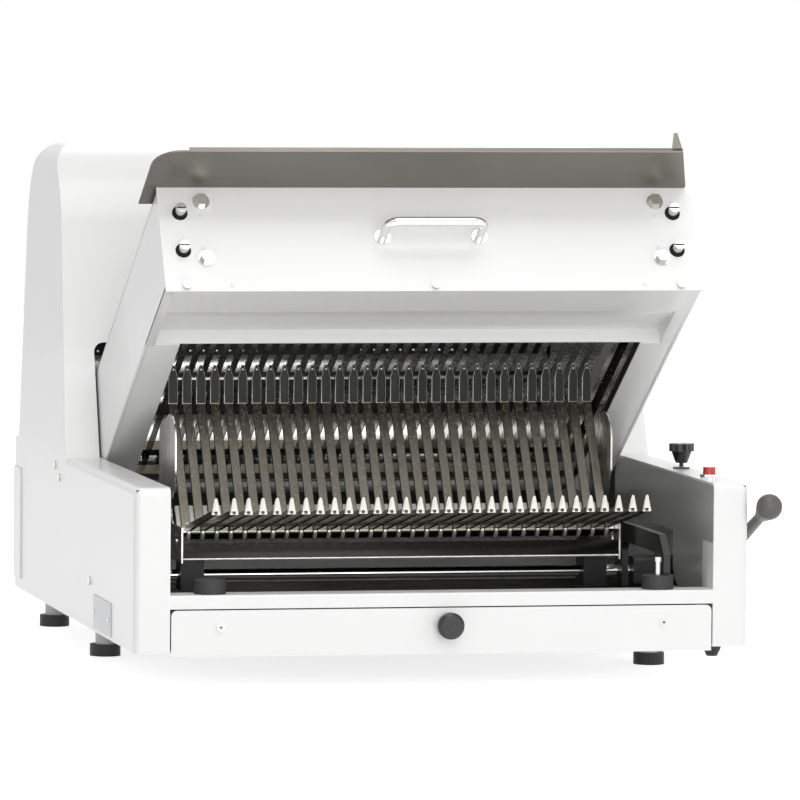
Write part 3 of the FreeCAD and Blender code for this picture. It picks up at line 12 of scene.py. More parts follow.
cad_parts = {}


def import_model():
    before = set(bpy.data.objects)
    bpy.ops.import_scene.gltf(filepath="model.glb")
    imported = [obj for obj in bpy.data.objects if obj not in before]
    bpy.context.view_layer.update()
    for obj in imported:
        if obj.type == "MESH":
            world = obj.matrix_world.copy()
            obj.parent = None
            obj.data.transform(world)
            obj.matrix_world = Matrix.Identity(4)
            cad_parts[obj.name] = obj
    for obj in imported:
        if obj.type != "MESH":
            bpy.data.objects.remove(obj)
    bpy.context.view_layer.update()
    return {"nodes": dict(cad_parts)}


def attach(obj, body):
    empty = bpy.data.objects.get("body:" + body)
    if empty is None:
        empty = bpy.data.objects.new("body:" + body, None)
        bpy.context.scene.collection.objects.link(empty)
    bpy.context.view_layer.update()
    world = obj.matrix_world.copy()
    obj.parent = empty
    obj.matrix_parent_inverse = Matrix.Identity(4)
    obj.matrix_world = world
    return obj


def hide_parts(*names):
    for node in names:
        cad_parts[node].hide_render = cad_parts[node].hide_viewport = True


LOG = logging.getLogger("bread_slicer")
MM = 0.001
WHITE = (1.0, 1.0, 1.0, 1.0)

Pair = tuple[float, float]
Triple = tuple[float, float, float]
Profile = tuple[Pair, ...]
Verts = list[bmesh.types.BMVert]
Tree = bpy.types.NodeTree
Node = bpy.types.Node
Socket = bpy.types.NodeSocket


class Grain(Enum):
    """Axis along which a metal was brushed or rolled."""

    X = (0.03, 1.0, 1.0)
    Y = (1.0, 0.03, 1.0)
    Z = (1.0, 1.0, 0.03)
    EVEN = (1.0, 1.0, 1.0)


def link(tree: Tree, start: Socket, end: Socket) -> None:
    """Joins two node sockets."""
    tree.links.new(start, end)


def preset(node: Node, values: dict[str, object]) -> None:
    """Sets some inputs of a node by name."""
    for name, value in values.items():
        node.inputs[name].default_value = value


def add_object(name: str, data: bpy.types.ID) -> bpy.types.Object:
    """Adds an object with some data to the scene."""
    made = bpy.data.objects.new(name, data)
    bpy.context.scene.collection.objects.link(made)
    return made


def calculate(tree: Tree, operation: str, *values: Socket | float) -> Socket:
    """Adds a sum to a node tree.

    Args:
        tree: The node tree.
        operation: Operation of the math node.
        values: What goes in, each a socket or a number.

    Returns:
        The socket that holds the result.
    """
    node = tree.nodes.new("ShaderNodeMath")
    node.operation = operation
    for socket, value in zip(node.inputs, values):
        if isinstance(value, Socket):
            link(tree, value, socket)
        else:
            socket.default_value = value
    return node.outputs[0]


CLOUD_SCALE = 9.0
NOISE_DETAIL = 4.0
CLOUD_SHARE = 0.65
GRAIN_SHARE = 0.35
TONE_BAND = (0.3, 0.7)
GRAIN_BAND = (0.25, 0.75)
SMOOTHEST = 0.02
BUMP_STRENGTH = 0.5


@dataclass(frozen=True)
class Finish:
    """A surface finish made of nodes on Object coordinates.

    Attributes:
        name: The material's name.
        colour: The plain colour.
        metallic: 1 for bare metal, 0 for paint, plastic and rubber.
        roughness: Mean roughness.
        spread: How far the roughness wanders from its mean.
        drift: How far the colour's value wanders.
        grain: Brushing direction.
        scale: Noise scale, per metre.
        bump: Height of the surface texture in millimetres.
        coat: Clear coat weight.
        specular: Specular level of a dielectric.
    """

    name: str
    colour: Triple
    metallic: float = 0.0
    roughness: float = 0.4
    spread: float = 0.05
    drift: float = 0.02
    grain: Grain = Grain.EVEN
    scale: float = 500.0
    bump: float = 0.003
    coat: float = 0.0
    specular: float = 0.5

    def build(self) -> bpy.types.Material:
        """Builds the material.

        Returns:
            The node material of this finish.
        """
        material = bpy.data.materials.get(self.name)
        if material:
            return material
        material = bpy.data.materials.new(self.name)
        material.use_nodes = True
        tree = material.node_tree
        shader = tree.nodes["Principled BSDF"]
        preset(shader, {"Metallic": self.metallic, "Coat Weight": self.coat, "Specular IOR Level": self.specular})
        coordinates = tree.nodes.new("ShaderNodeTexCoord")
        mapping = tree.nodes.new("ShaderNodeMapping")
        preset(mapping, {"Scale": self.grain.value})
        link(tree, coordinates.outputs["Object"], mapping.inputs["Vector"])
        noise = self._noise(tree, mapping, self.scale)
        cloud = self._noise(tree, coordinates, CLOUD_SCALE)
        self._colour(tree, shader, cloud, noise)
        self._roughness(tree, shader, noise)
        self._bump(tree, shader, noise)
        return material

    def _noise(self, tree: Tree, source: Node, scale: float) -> Node:
        """Adds a noise texture.

        Args:
            tree: The material's node tree.
            source: The node whose vector output drives the noise.
            scale: The noise scale.

        Returns:
            The noise node.
        """
        noise = tree.nodes.new("ShaderNodeTexNoise")
        preset(noise, {"Scale": scale, "Detail": NOISE_DETAIL})
        socket = source.outputs["Object" if source.bl_idname == "ShaderNodeTexCoord" else "Vector"]
        link(tree, socket, noise.inputs["Vector"])
        return noise

    def _colour(self, tree: Tree, shader: Node, cloud: Node, noise: Node) -> None:
        """Colours the surface with a slow drift and a little of the fine grain."""
        ramp = tree.nodes.new("ShaderNodeValToRGB")
        for element, place, sign in zip(ramp.color_ramp.elements, TONE_BAND, (-1.0, 1.0)):
            element.position = place
            element.color = (*(min(1.0, c * (1.0 + sign * self.drift)) for c in self.colour), 1.0)
        slow = calculate(tree, "MULTIPLY", cloud.outputs["Fac"], CLOUD_SHARE)
        tone = calculate(tree, "MULTIPLY_ADD", noise.outputs["Fac"], GRAIN_SHARE, slow)
        link(tree, tone, ramp.inputs["Fac"])
        link(tree, ramp.outputs["Color"], shader.inputs["Base Color"])

    def _roughness(self, tree: Tree, shader: Node, noise: Node) -> None:
        """Varies the roughness with the grain."""
        spread = tree.nodes.new("ShaderNodeMapRange")
        low, high = GRAIN_BAND
        preset(spread, {"From Min": low, "From Max": high, "To Min": max(SMOOTHEST, self.roughness - self.spread),
                        "To Max": min(1.0, self.roughness + self.spread)})
        link(tree, noise.outputs["Fac"], spread.inputs["Value"])
        link(tree, spread.outputs["Result"], shader.inputs["Roughness"])

    def _bump(self, tree: Tree, shader: Node, noise: Node) -> None:
        """Raises the grain."""
        bump = tree.nodes.new("ShaderNodeBump")
        preset(bump, {"Strength": BUMP_STRENGTH, "Distance": self.bump * MM})
        link(tree, noise.outputs["Fac"], bump.inputs["Height"])
        link(tree, bump.outputs["Normal"], shader.inputs["Normal"])


ENAMEL = Finish(
    "white_enamel", (0.90, 0.90, 0.895), roughness=0.32, spread=0.04, drift=0.010, scale=900.0, bump=0.02, coat=0.25)
# Darker copy of the white enamel for the panel's dimples: painted shade.
SHADED_ENAMEL = Finish("white_enamel_painted_shade", (0.84, 0.84, 0.825), roughness=0.38, scale=900.0, bump=0.02, coat=0.15)
STAINLESS = Finish(
    "stainless_sheet", (0.50, 0.49, 0.46), metallic=1.0, roughness=0.24, spread=0.07, drift=0.08, grain=Grain.X,
    scale=900.0, bump=0.004)
CHEEK_STEEL = Finish(
    "cheek_steel", (0.62, 0.61, 0.58), metallic=1.0, roughness=0.26, spread=0.07, drift=0.08, grain=Grain.Z,
    scale=700.0, bump=0.004)
PAN_STEEL = Finish(
    "pan_steel", (0.085, 0.082, 0.075), metallic=0.9, roughness=0.3, spread=0.08, drift=0.2, grain=Grain.X,
    bump=0.004)
# Near-black sheet inside the cover: painted shade of the cover's dark inside.
BULKHEAD_SHADE = Finish(
    "bulkhead_painted_shade", (0.045, 0.040, 0.030), metallic=0.4, roughness=0.42, spread=0.08, drift=0.25, grain=Grain.X,
    scale=200.0, bump=0.004)
MIRROR_STEEL = Finish(
    "mirror_steel", (0.97, 0.97, 0.95), metallic=0.9, roughness=0.22, drift=0.04, grain=Grain.X, scale=300.0,
    bump=0.001)
SHELF_STEEL = Finish(
    "shelf_steel", (0.014, 0.012, 0.009), metallic=0.5, roughness=0.24, spread=0.07, specular=0.25, drift=0.25,
    grain=Grain.Y, scale=260.0, bump=0.004)
GUARD_STEEL = Finish(
    "guard_steel", (0.215, 0.20, 0.18), metallic=1.0, roughness=0.44, spread=0.08, drift=0.08, grain=Grain.X,
    scale=800.0, bump=0.004)
LINER_STEEL = Finish(
    "liner_steel", (0.90, 0.90, 0.87), metallic=0.5, roughness=0.2, spread=0.03, grain=Grain.Y, bump=0.0006)
STRIP_STEEL = Finish(
    "strip_steel", (0.25, 0.235, 0.195), metallic=1.0, roughness=0.24, spread=0.08, drift=0.16, grain=Grain.Z,
    scale=420.0)
# Near black for the strips' upper part: painted dark reflection, not the steel's own colour.
STRIP_DARK_REFLECTION = Finish(
    "strip_painted_dark_reflection", (0.010, 0.010, 0.009), roughness=0.38, spread=0.08, drift=0.25, grain=Grain.Z, scale=300.0,
    specular=0.22)
# Bright copy of the steel for bevels, eyes, studs, hem and stiffener: painted highlight.
PAINTED_HIGHLIGHT_STEEL = Finish(
    "painted_highlight_steel", (0.88, 0.88, 0.84), metallic=0.6, roughness=0.22, spread=0.06, drift=0.08, bump=0.001)
FINGER_STEEL = Finish(
    "finger_steel", (0.060, 0.056, 0.046), metallic=1.0, roughness=0.2, spread=0.07, drift=0.2, grain=Grain.Y,
    scale=400.0, bump=0.002)
LEAF_STEEL = Finish(
    "leaf_steel", (0.66, 0.65, 0.60), metallic=0.9, roughness=0.26, spread=0.08, drift=0.12, grain=Grain.Z,
    scale=350.0, bump=0.002)
TUBE_STEEL = Finish(
    "tube_steel", (0.21, 0.195, 0.16), metallic=1.0, roughness=0.2, drift=0.15, scale=400.0, bump=0.001)
BRIGHT_STEEL = Finish(
    "bright_steel", (0.60, 0.60, 0.58), metallic=1.0, roughness=0.12, spread=0.04, drift=0.03, scale=400.0,
    bump=0.001)
FRAME_STEEL = Finish(
    "frame_steel", (0.24, 0.225, 0.19), metallic=1.0, roughness=0.22, spread=0.07, drift=0.15, grain=Grain.Y)
FRAME_DARK = Finish(
    "frame_bar_steel", (0.075, 0.066, 0.048), metallic=0.8, roughness=0.3, spread=0.07, drift=0.2, grain=Grain.X)
BLADE_STEEL = Finish(
    "blade_steel", (0.075, 0.073, 0.066), metallic=1.0, roughness=0.26, spread=0.06, drift=0.08, grain=Grain.Y,
    scale=600.0, bump=0.002)
SCREW_ZINC = Finish("screw_zinc", (0.60, 0.60, 0.57), metallic=1.0, roughness=0.2, drift=0.03, scale=300.0)
CHROME = Finish(
    "chrome_plate", (0.78, 0.78, 0.78), metallic=1.0, roughness=0.09, spread=0.03, drift=0.01, scale=300.0,
    bump=0.001)
CAST_ALUMINIUM = Finish(
    "cast_aluminium", (0.115, 0.112, 0.102), metallic=0.35, roughness=0.45, spread=0.06, drift=0.12, bump=0.03)
BLACK_STEEL = Finish(
    "black_steel", (0.020, 0.020, 0.020), metallic=0.3, roughness=0.36, spread=0.06, drift=0.15, bump=0.01)
BLACK_RUBBER = Finish(
    "black_rubber", (0.030, 0.030, 0.032), roughness=0.55, spread=0.08, drift=0.15, scale=600.0, bump=0.03,
    specular=0.45)
BLACK_PLASTIC = Finish("black_plastic", (0.016, 0.016, 0.017), roughness=0.26, drift=0.1, bump=0.008)
RED_PLASTIC = Finish(
    "red_plastic", (0.58, 0.018, 0.020), roughness=0.25, spread=0.04, drift=0.04, scale=300.0, coat=0.3)
WHITE_PLASTIC = Finish("white_plastic", (0.78, 0.78, 0.77), roughness=0.42, scale=400.0, bump=0.01)
PLATE_ALUMINIUM = Finish(
    "plate_aluminium", (0.50, 0.51, 0.52), metallic=0.6, spread=0.06, drift=0.05, grain=Grain.Y, scale=700.0)
CAST_IRON = Finish(
    "cast_iron", (0.09, 0.09, 0.09), metallic=0.6, roughness=0.62, spread=0.1, drift=0.2, scale=350.0, bump=0.05)
# Near black for the gaps, slots and crossed recesses of screws and plungers: painted shade.
RECESS_SHADE = Finish(
    "painted_recess_shade", (0.012, 0.012, 0.012), roughness=0.7, spread=0.1, drift=0.2, scale=300.0, bump=0.002,
    specular=0.2)

NODE_FINISH: dict[Finish, tuple[str, ...]] = {
    ENAMEL: ("side_left", "side_right", "deck", "back_panel", "rear_plate", "cover", "sill", "tray_front",
             "head_panel", "wings", "throat_plate"),
    STAINLESS: ("comb_bar",),
    PAN_STEEL: ("tray_pan",),
    SHELF_STEEL: ("comb_shelf",),
    CHEEK_STEEL: ("comb_sides",),
    GUARD_STEEL: ("guard",),
    LINER_STEEL: ("arm_liners",),
    STRIP_STEEL: ("strips",),
    BRIGHT_STEEL: ("root_rod", "cross_shaft", "pivot_shaft", "pivot_tube"),
    TUBE_STEEL: ("spacer_tubes",),
    FINGER_STEEL: ("fingers",),
    BLADE_STEEL: ("blades_a", "blades_b"),
    FRAME_STEEL: ("frame_rails_a", "frame_rails_b", "guide_rails"),
    SCREW_ZINC: ("panel_bolts", "panel_washers", "plungers", "cap_screws", "side_screws", "tray_screws",
                 "plate_rivets", "stop_screw"),
    CHROME: ("handle", "button_ring"),
    CAST_ALUMINIUM: ("lever", "lever_ball"),
    FRAME_DARK: ("frame_bars_a", "frame_bars_b"),
    BLACK_STEEL: ("shaft_clamps", "shaft_bearings", "stop_arm"),
    BLACK_RUBBER: ("bumpers", "foot_pads", "buffer"),
    BLACK_PLASTIC: ("star_knob", "tray_knob", "knob_washer"),
    RED_PLASTIC: ("push_button",),
    WHITE_PLASTIC: ("foot_spacers",),
    PLATE_ALUMINIUM: ("blank_plate",),
    CAST_IRON: ("pivot_brackets",),
}


def dress(piece: bpy.types.Object, finish: Finish) -> None:
    """Puts one finish on every slot of a piece."""
    material = finish.build()
    if not piece.data.materials:
        piece.data.materials.append(material)
    for slot in piece.material_slots:
        slot.material = material


class Place(Enum):
    """Axes in which a piece is drawn, as the images of its three axes and its origin in millimetres."""

    WORLD = ((1.0, 0.0, 0.0), (0.0, 1.0, 0.0), (0.0, 0.0, 1.0), (0.0, 0.0, 0.0))
    HEAD = ((1.0, 0.0, 0.0), (0.0, -0.86340, 0.50453), (0.0, 0.50453, 0.86340), (0.0, 487.0, 150.0))

    def matrix(self) -> Matrix:
        """Returns the matrix from this place's millimetres to the model's metres."""
        across, forward, above, origin = (Vector(row) for row in self.value)
        turn = Matrix((across, forward, above)).transposed().to_4x4()
        return Matrix.Scale(MM, 4) @ Matrix.Translation(origin) @ turn


class Along(Enum):
    """Axis of a place along which an outline is extruded, with the two axes that the outline uses."""

    X = (0, 1, 2)
    Y = (1, 0, 2)
    Z = (2, 0, 1)

    def point(self, first: float, second: float, level: float) -> Vector:
        """Returns the point of an outline's two numbers at a level along the axis."""
        spot = [0.0, 0.0, 0.0]
        main, one, two = self.value
        spot[main], spot[one], spot[two] = level, first, second
        return Vector(spot)

    def way(self) -> Vector:
        """Returns the unit vector of the axis."""
        return self.point(0.0, 0.0, 1.0)


SMOOTH_BELOW_DEGREES = 35.0
SOFTEN_ABOVE_RADIANS = 0.4
MERGE_DISTANCE = 0.0005
ROD_CHAMFER = 0.12


class Shape:
    """A mesh under work, in a place's millimetres."""

    def __init__(self, place: Place = Place.WORLD) -> None:
        """Starts an empty mesh.

        Args:
            place: The axes in which the shape is drawn.
        """
        self.place = place
        self.mesh = bmesh.new()

    def prism(self, outline: list[Pair], along: Along, start: float, end: float, soft: float = 0.0,
              segments: int = 2) -> Verts:
        """Extrudes a closed outline.

        Args:
            outline: Corners in the two axes square to `along`.
            along: Axis of the extrusion.
            start: Level of the outline.
            end: Level of the far end.
            soft: Width of the rounded edges.
            segments: Steps in a rounded edge.

        Returns:
            The prism's vertices.
        """
        ring = [self.mesh.verts.new(along.point(a, b, start)) for a, b in outline]
        face = self.mesh.faces.new(ring)
        grown = bmesh.ops.extrude_face_region(self.mesh, geom=[face])["geom"]
        moved = [item for item in grown if isinstance(item, bmesh.types.BMVert)]
        bmesh.ops.translate(self.mesh, verts=moved, vec=along.way() * (end - start))
        verts = ring + moved
        return self.soften(verts, soft, segments) if soft else verts

    def soften(self, verts: Verts, width: float, segments: int) -> Verts:
        """Rounds the sharp edges among some vertices.

        Args:
            verts: The vertices whose edges are rounded.
            width: Width of the rounding.
            segments: Steps in the rounding.

        Returns:
            All vertices of the rounded shape.
        """
        chosen = set(verts)
        faces = {face for vert in verts for face in vert.link_faces}
        bmesh.ops.recalc_face_normals(self.mesh, faces=list(faces))
        edges = {edge for vert in verts for edge in vert.link_edges
                 if all(end in chosen for end in edge.verts) and len(edge.link_faces) == 2
                 and edge.calc_face_angle() > SOFTEN_ABOVE_RADIANS}
        before = set(self.mesh.verts) - chosen
        bmesh.ops.bevel(self.mesh, geom=list(edges), offset=width, offset_type="OFFSET", affect="EDGES",
                        segments=segments, profile=0.5, material=-1, clamp_overlap=True)
        return [vert for vert in self.mesh.verts if vert not in before]

    def lathe(self, profile: list[Pair] | Profile, origin: Triple, axis: Triple, steps: int) -> None:
        """Turns a profile about an axis.

        Args:
            profile: Radius and height of each corner, closed if its ends meet or lie on the axis.
            origin: The axis's foot.
            axis: The axis's direction.
            steps: Facets round the axis.
        """
        before = set(self.mesh.verts)
        spots = [self.mesh.verts.new((radius, 0.0, height)) for radius, height in profile]
        edges = [self.mesh.edges.new(pair) for pair in zip(spots, spots[1:])]
        if min(radius for radius, _ in profile) > 0.0:
            edges.append(self.mesh.edges.new((spots[-1], spots[0])))
        bmesh.ops.spin(self.mesh, geom=spots + edges, cent=(0.0, 0.0, 0.0), axis=(0.0, 0.0, 1.0),
                       angle=2.0 * math.pi, steps=steps, use_merge=True)
        verts = [vert for vert in self.mesh.verts if vert not in before]
        bmesh.ops.remove_doubles(self.mesh, verts=verts, dist=MERGE_DISTANCE)
        verts = [vert for vert in self.mesh.verts if vert not in before]
        turn = Vector(axis).to_track_quat("Z", "Y").to_matrix().to_4x4()
        bmesh.ops.transform(self.mesh, verts=verts, matrix=Matrix.Translation(origin) @ turn)

    def rod(self, start: Triple, end: Triple, radius: float, steps: int) -> None:
        """Makes a round bar with small chamfers.

        Args:
            start: Middle of one end.
            end: Middle of the other end.
            radius: The bar's radius.
            steps: Facets round the bar.
        """
        run = Vector(end) - Vector(start)
        edge = radius * ROD_CHAMFER
        profile = [(0.0, 0.0), (radius - edge, 0.0), (radius, edge), (radius, run.length - edge),
                   (radius - edge, run.length), (0.0, run.length)]
        self.lathe(profile, start, tuple(run), steps)

    def row(self, step: Triple, count: int) -> None:
        """Repeats the whole shape in a row.

        Args:
            step: Shift from one copy to the next.
            count: Number of copies, the first among them.
        """
        original = list(self.mesh.verts) + list(self.mesh.edges) + list(self.mesh.faces)
        for index in range(1, count):
            made = bmesh.ops.duplicate(self.mesh, geom=original)["geom"]
            verts = [item for item in made if isinstance(item, bmesh.types.BMVert)]
            bmesh.ops.translate(self.mesh, verts=verts, vec=Vector(step) * index)

    def finish(self, name: str, body: str, finishes: list[Finish], replaces: tuple[str, ...], slot: str) -> None:
        """Turns the shape into a dressed object that rides on a body.

        Args:
            name: The piece's name.
            body: The body that carries it.
            finishes: Finish of each material index.
            replaces: CAD nodes for which the piece stands.
            slot: Material slot of the record; not used.
        """
        bmesh.ops.transform(self.mesh, verts=list(self.mesh.verts), matrix=self.place.matrix())
        bmesh.ops.recalc_face_normals(self.mesh, faces=list(self.mesh.faces))
        data = bpy.data.meshes.new(name)
        self.mesh.to_mesh(data)
        self.mesh.free()
        for finish in finishes:
            data.materials.append(finish.build())
        data.shade_smooth()
        data.set_sharp_from_angle(angle=math.radians(SMOOTH_BELOW_DEGREES))
        piece = add_object(name, data)
        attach(piece, body)
        if replaces:
            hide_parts(*replaces)
        LOG.info("%s: %d faces on %s", name, len(data.polygons), body)


def corners(first_a: float, first_b: float, last_a: float, last_b: float) -> list[Pair]:
    """Returns the four corners of an upright rectangle between two opposite ones."""
    return [(first_a, first_b), (last_a, first_b), (last_a, last_b), (first_a, last_b)]


def ring(inner: float, outer: float, start: float, end: float, soft: float) -> list[Pair]:
    """Returns the profile of a ring whose outer edges are cut off."""
    return [(inner, start), (outer - soft, start), (outer, start + soft), (outer, end - soft), (outer - soft, end),
            (inner, end)]


@dataclass(frozen=True)
class Throat:
    """Sheet-metal wings of the head and the bent plate that closes its mouth, in millimetres of the head.

    Attributes:
        half: Half the head's width.
        sheet: Sheet of the wings.
        front: Front edge of plate and wings, from the pivot.
        low: Depth of the wings below the pivot.
        droop: How much deeper the wings reach at their front.
        high: Height of the wings above the pivot.
        root: Corners of the wings round the pivot.
        flange: Width of the flanges under the wings.
        flange_cut: Corner cut off the flanges' rear ends.
        flange_start: Rear ends of the flanges.
        top_flange: Width of the flanges on top.
        plate_front: Level of the plate's front edge.
        plate_crease: Place and level of the plate's crease.
        plate_rear: Place and level of the plate's rear edge.
        plate_ends: Ends of the plate across the head.
        plate_sheet: Sheet of the plate.
        lip: Depth of the lip turned down at the plate's rear edge.
        hem_tail: Under and upper side of the hems' rear ends, from the depth of the wings.
        gusset: Sheet of the gussets that close the plate's ends.
        gusset_rise: How far the gussets reach above the plate.
    """

    half: float = 240.0
    sheet: float = 2.0
    front: float = 482.6
    low: float = 51.0
    droop: float = 2.0
    high: float = 42.0
    root: Profile = ((0.0, 30.0), (-28.0, 15.0), (-28.0, -21.0))
    flange: float = 31.0
    flange_cut: float = 12.0
    flange_start: float = 66.0
    top_flange: float = 14.0
    plate_front: float = -56.1
    plate_crease: Pair = (438.0, -52.4)
    plate_rear: Pair = (373.6, -37.1)
    plate_ends: Pair = (-233.0, 228.0)
    plate_sheet: float = 1.5
    lip: float = 13.0
    hem_tail: Pair = (-0.5, 1.5)
    gusset: float = 1.2
    gusset_rise: float = 1.0

    def build(self) -> None:
        """Builds the plate and both wings."""
        self._plate()
        self._wings()

    def _plate(self) -> None:
        """Bends the mouth plate with its lip between the hems of the wings."""
        shape = Shape(Place.HEAD)
        rear, level = self.plate_rear
        thick = self.plate_sheet
        bends = [(self.front, self.plate_front), self.plate_crease, (rear - thick, level)]
        for (start, low), (end, high) in zip(bends, bends[1:]):
            slab = [(start, low), (end, high), (end, high + thick), (start, low + thick)]
            shape.prism(slab, Along.X, *self.plate_ends)
        drop = corners(rear - thick, level + thick * 0.5, rear, level - self.lip)
        shape.prism(drop, Along.X, *self.plate_ends, soft=0.4)
        shape.finish("mouth_plate", "head", [ENAMEL], ("throat_plate",), "throat_plate")

    def _wings(self) -> None:
        """Cuts both wings with the hems beside the mouth plate and the flanges behind it."""
        shape = Shape(Place.HEAD)
        rear = self.plate_rear[0] - self.plate_sheet
        nose = -self.low - self.droop
        tail, tail_top = (level - self.low for level in self.hem_tail)
        flank = [(self.flange_start, -self.low), (self.front, nose), (self.front, self.high),
                 (self.flange_start, self.high), *self.root]
        hem = [(rear, tail), (self.front, nose), (self.front, -self.low), (rear, tail_top)]
        gusset = [(rear, tail), self.plate_crease, (rear, self.plate_rear[1] + self.gusset_rise)]
        for side, inner in zip((-1.0, 1.0), self.plate_ends):
            face = side * self.half
            shape.prism(flank, Along.X, side * (self.half - self.sheet), face)
            shape.prism(hem, Along.X, inner - side, face)
            shape.prism(gusset, Along.X, inner - side * self.gusset, inner)
            lining = corners(side * (self.half - self.top_flange), self.front, face, self.flange_start)
            shape.prism(lining, Along.Z, self.high - self.sheet, self.high, soft=0.7)
            edge = side * (self.half - self.flange)
            flange = [(face, rear), (face, self.flange_start), (edge + side * self.flange_cut, self.flange_start),
                      (edge, self.flange_start + self.flange_cut), (edge, rear)]
            shape.prism(flange, Along.Z, -self.low, -self.low + self.sheet, soft=0.7)
        shape.finish("head_wings", "head", [ENAMEL], ("wings",), "wings")


@dataclass(frozen=True)
class Guard:
    """Stainless sheet over the head's front, with a rounded corner, a hem and an ear, in millimetres of the head.

    Attributes:
        level: Under side of the sheet, from the pivot.
        sheet: Sheet thickness.
        left: Left edge.
        right: Right end of the front edge.
        flare: Corner to which the right edge widens.
        reach: Front edge.
        step: Rear edge of the wide part.
        rear: Rear edge of the narrow part.
        inner: Left edge of the narrow part, inside the wing.
        corner: Radius of the front left corner.
        corner_steps: Facets in that corner.
        hem: Height of the hem on the front edge.
        hem_seat: How deep the hem sits in the sheet.
        hem_gap: Start of the hem from the left edge, in corner radii.
        ear: Width and height of the ear.
        ear_tip: Ends of the ear's tip from the right end, in parts of its width.
    """

    level: float = 46.0
    sheet: float = 1.5
    left: float = -251.0
    right: float = 219.5
    flare: Pair = (235.5, 489.0)
    reach: float = 550.6
    step: float = 454.1
    rear: float = 386.0
    inner: float = -238.0
    corner: float = 25.0
    corner_steps: int = 6
    hem: float = 3.0
    hem_seat: float = 0.1
    hem_gap: float = 1.2
    ear: Pair = (10.0, 18.0)
    ear_tip: Pair = (0.3, 0.6)

    def build(self) -> None:
        """Cuts the sheet in two outlines, then stands the hem and the ear on its front edge."""
        shape = Shape(Place.HEAD)
        top = self.level + self.sheet
        turns = [math.radians(180.0 - 90.0 * index / self.corner_steps) for index in range(self.corner_steps + 1)]
        front = [(self.left + self.corner * (1.0 + math.cos(turn)), self.reach + self.corner * (math.sin(turn) - 1.0))
                 for turn in turns]
        front += [(self.right, self.reach), self.flare, (self.flare[0], self.step), (self.left, self.step)]
        back = corners(self.inner, self.rear, self.right, self.step)
        for outline in (front, back):
            shape.prism(outline, Along.Z, self.level, top)
        face = self.reach - self.sheet
        hem = corners(face, top - self.hem_seat, self.reach, top + self.hem)
        shape.prism(hem, Along.X, self.left + self.corner * self.hem_gap, self.right, soft=0.4)
        wide, tall = self.ear
        tip = [(self.right - wide * part, top + tall) for part in self.ear_tip]
        ear = [(self.right - wide, top), (self.right, top), *tip]
        shape.prism(ear, Along.Y, self.reach, face)
        shape.finish("guard_sheet", "head", [GUARD_STEEL], ("guard",), "guard")


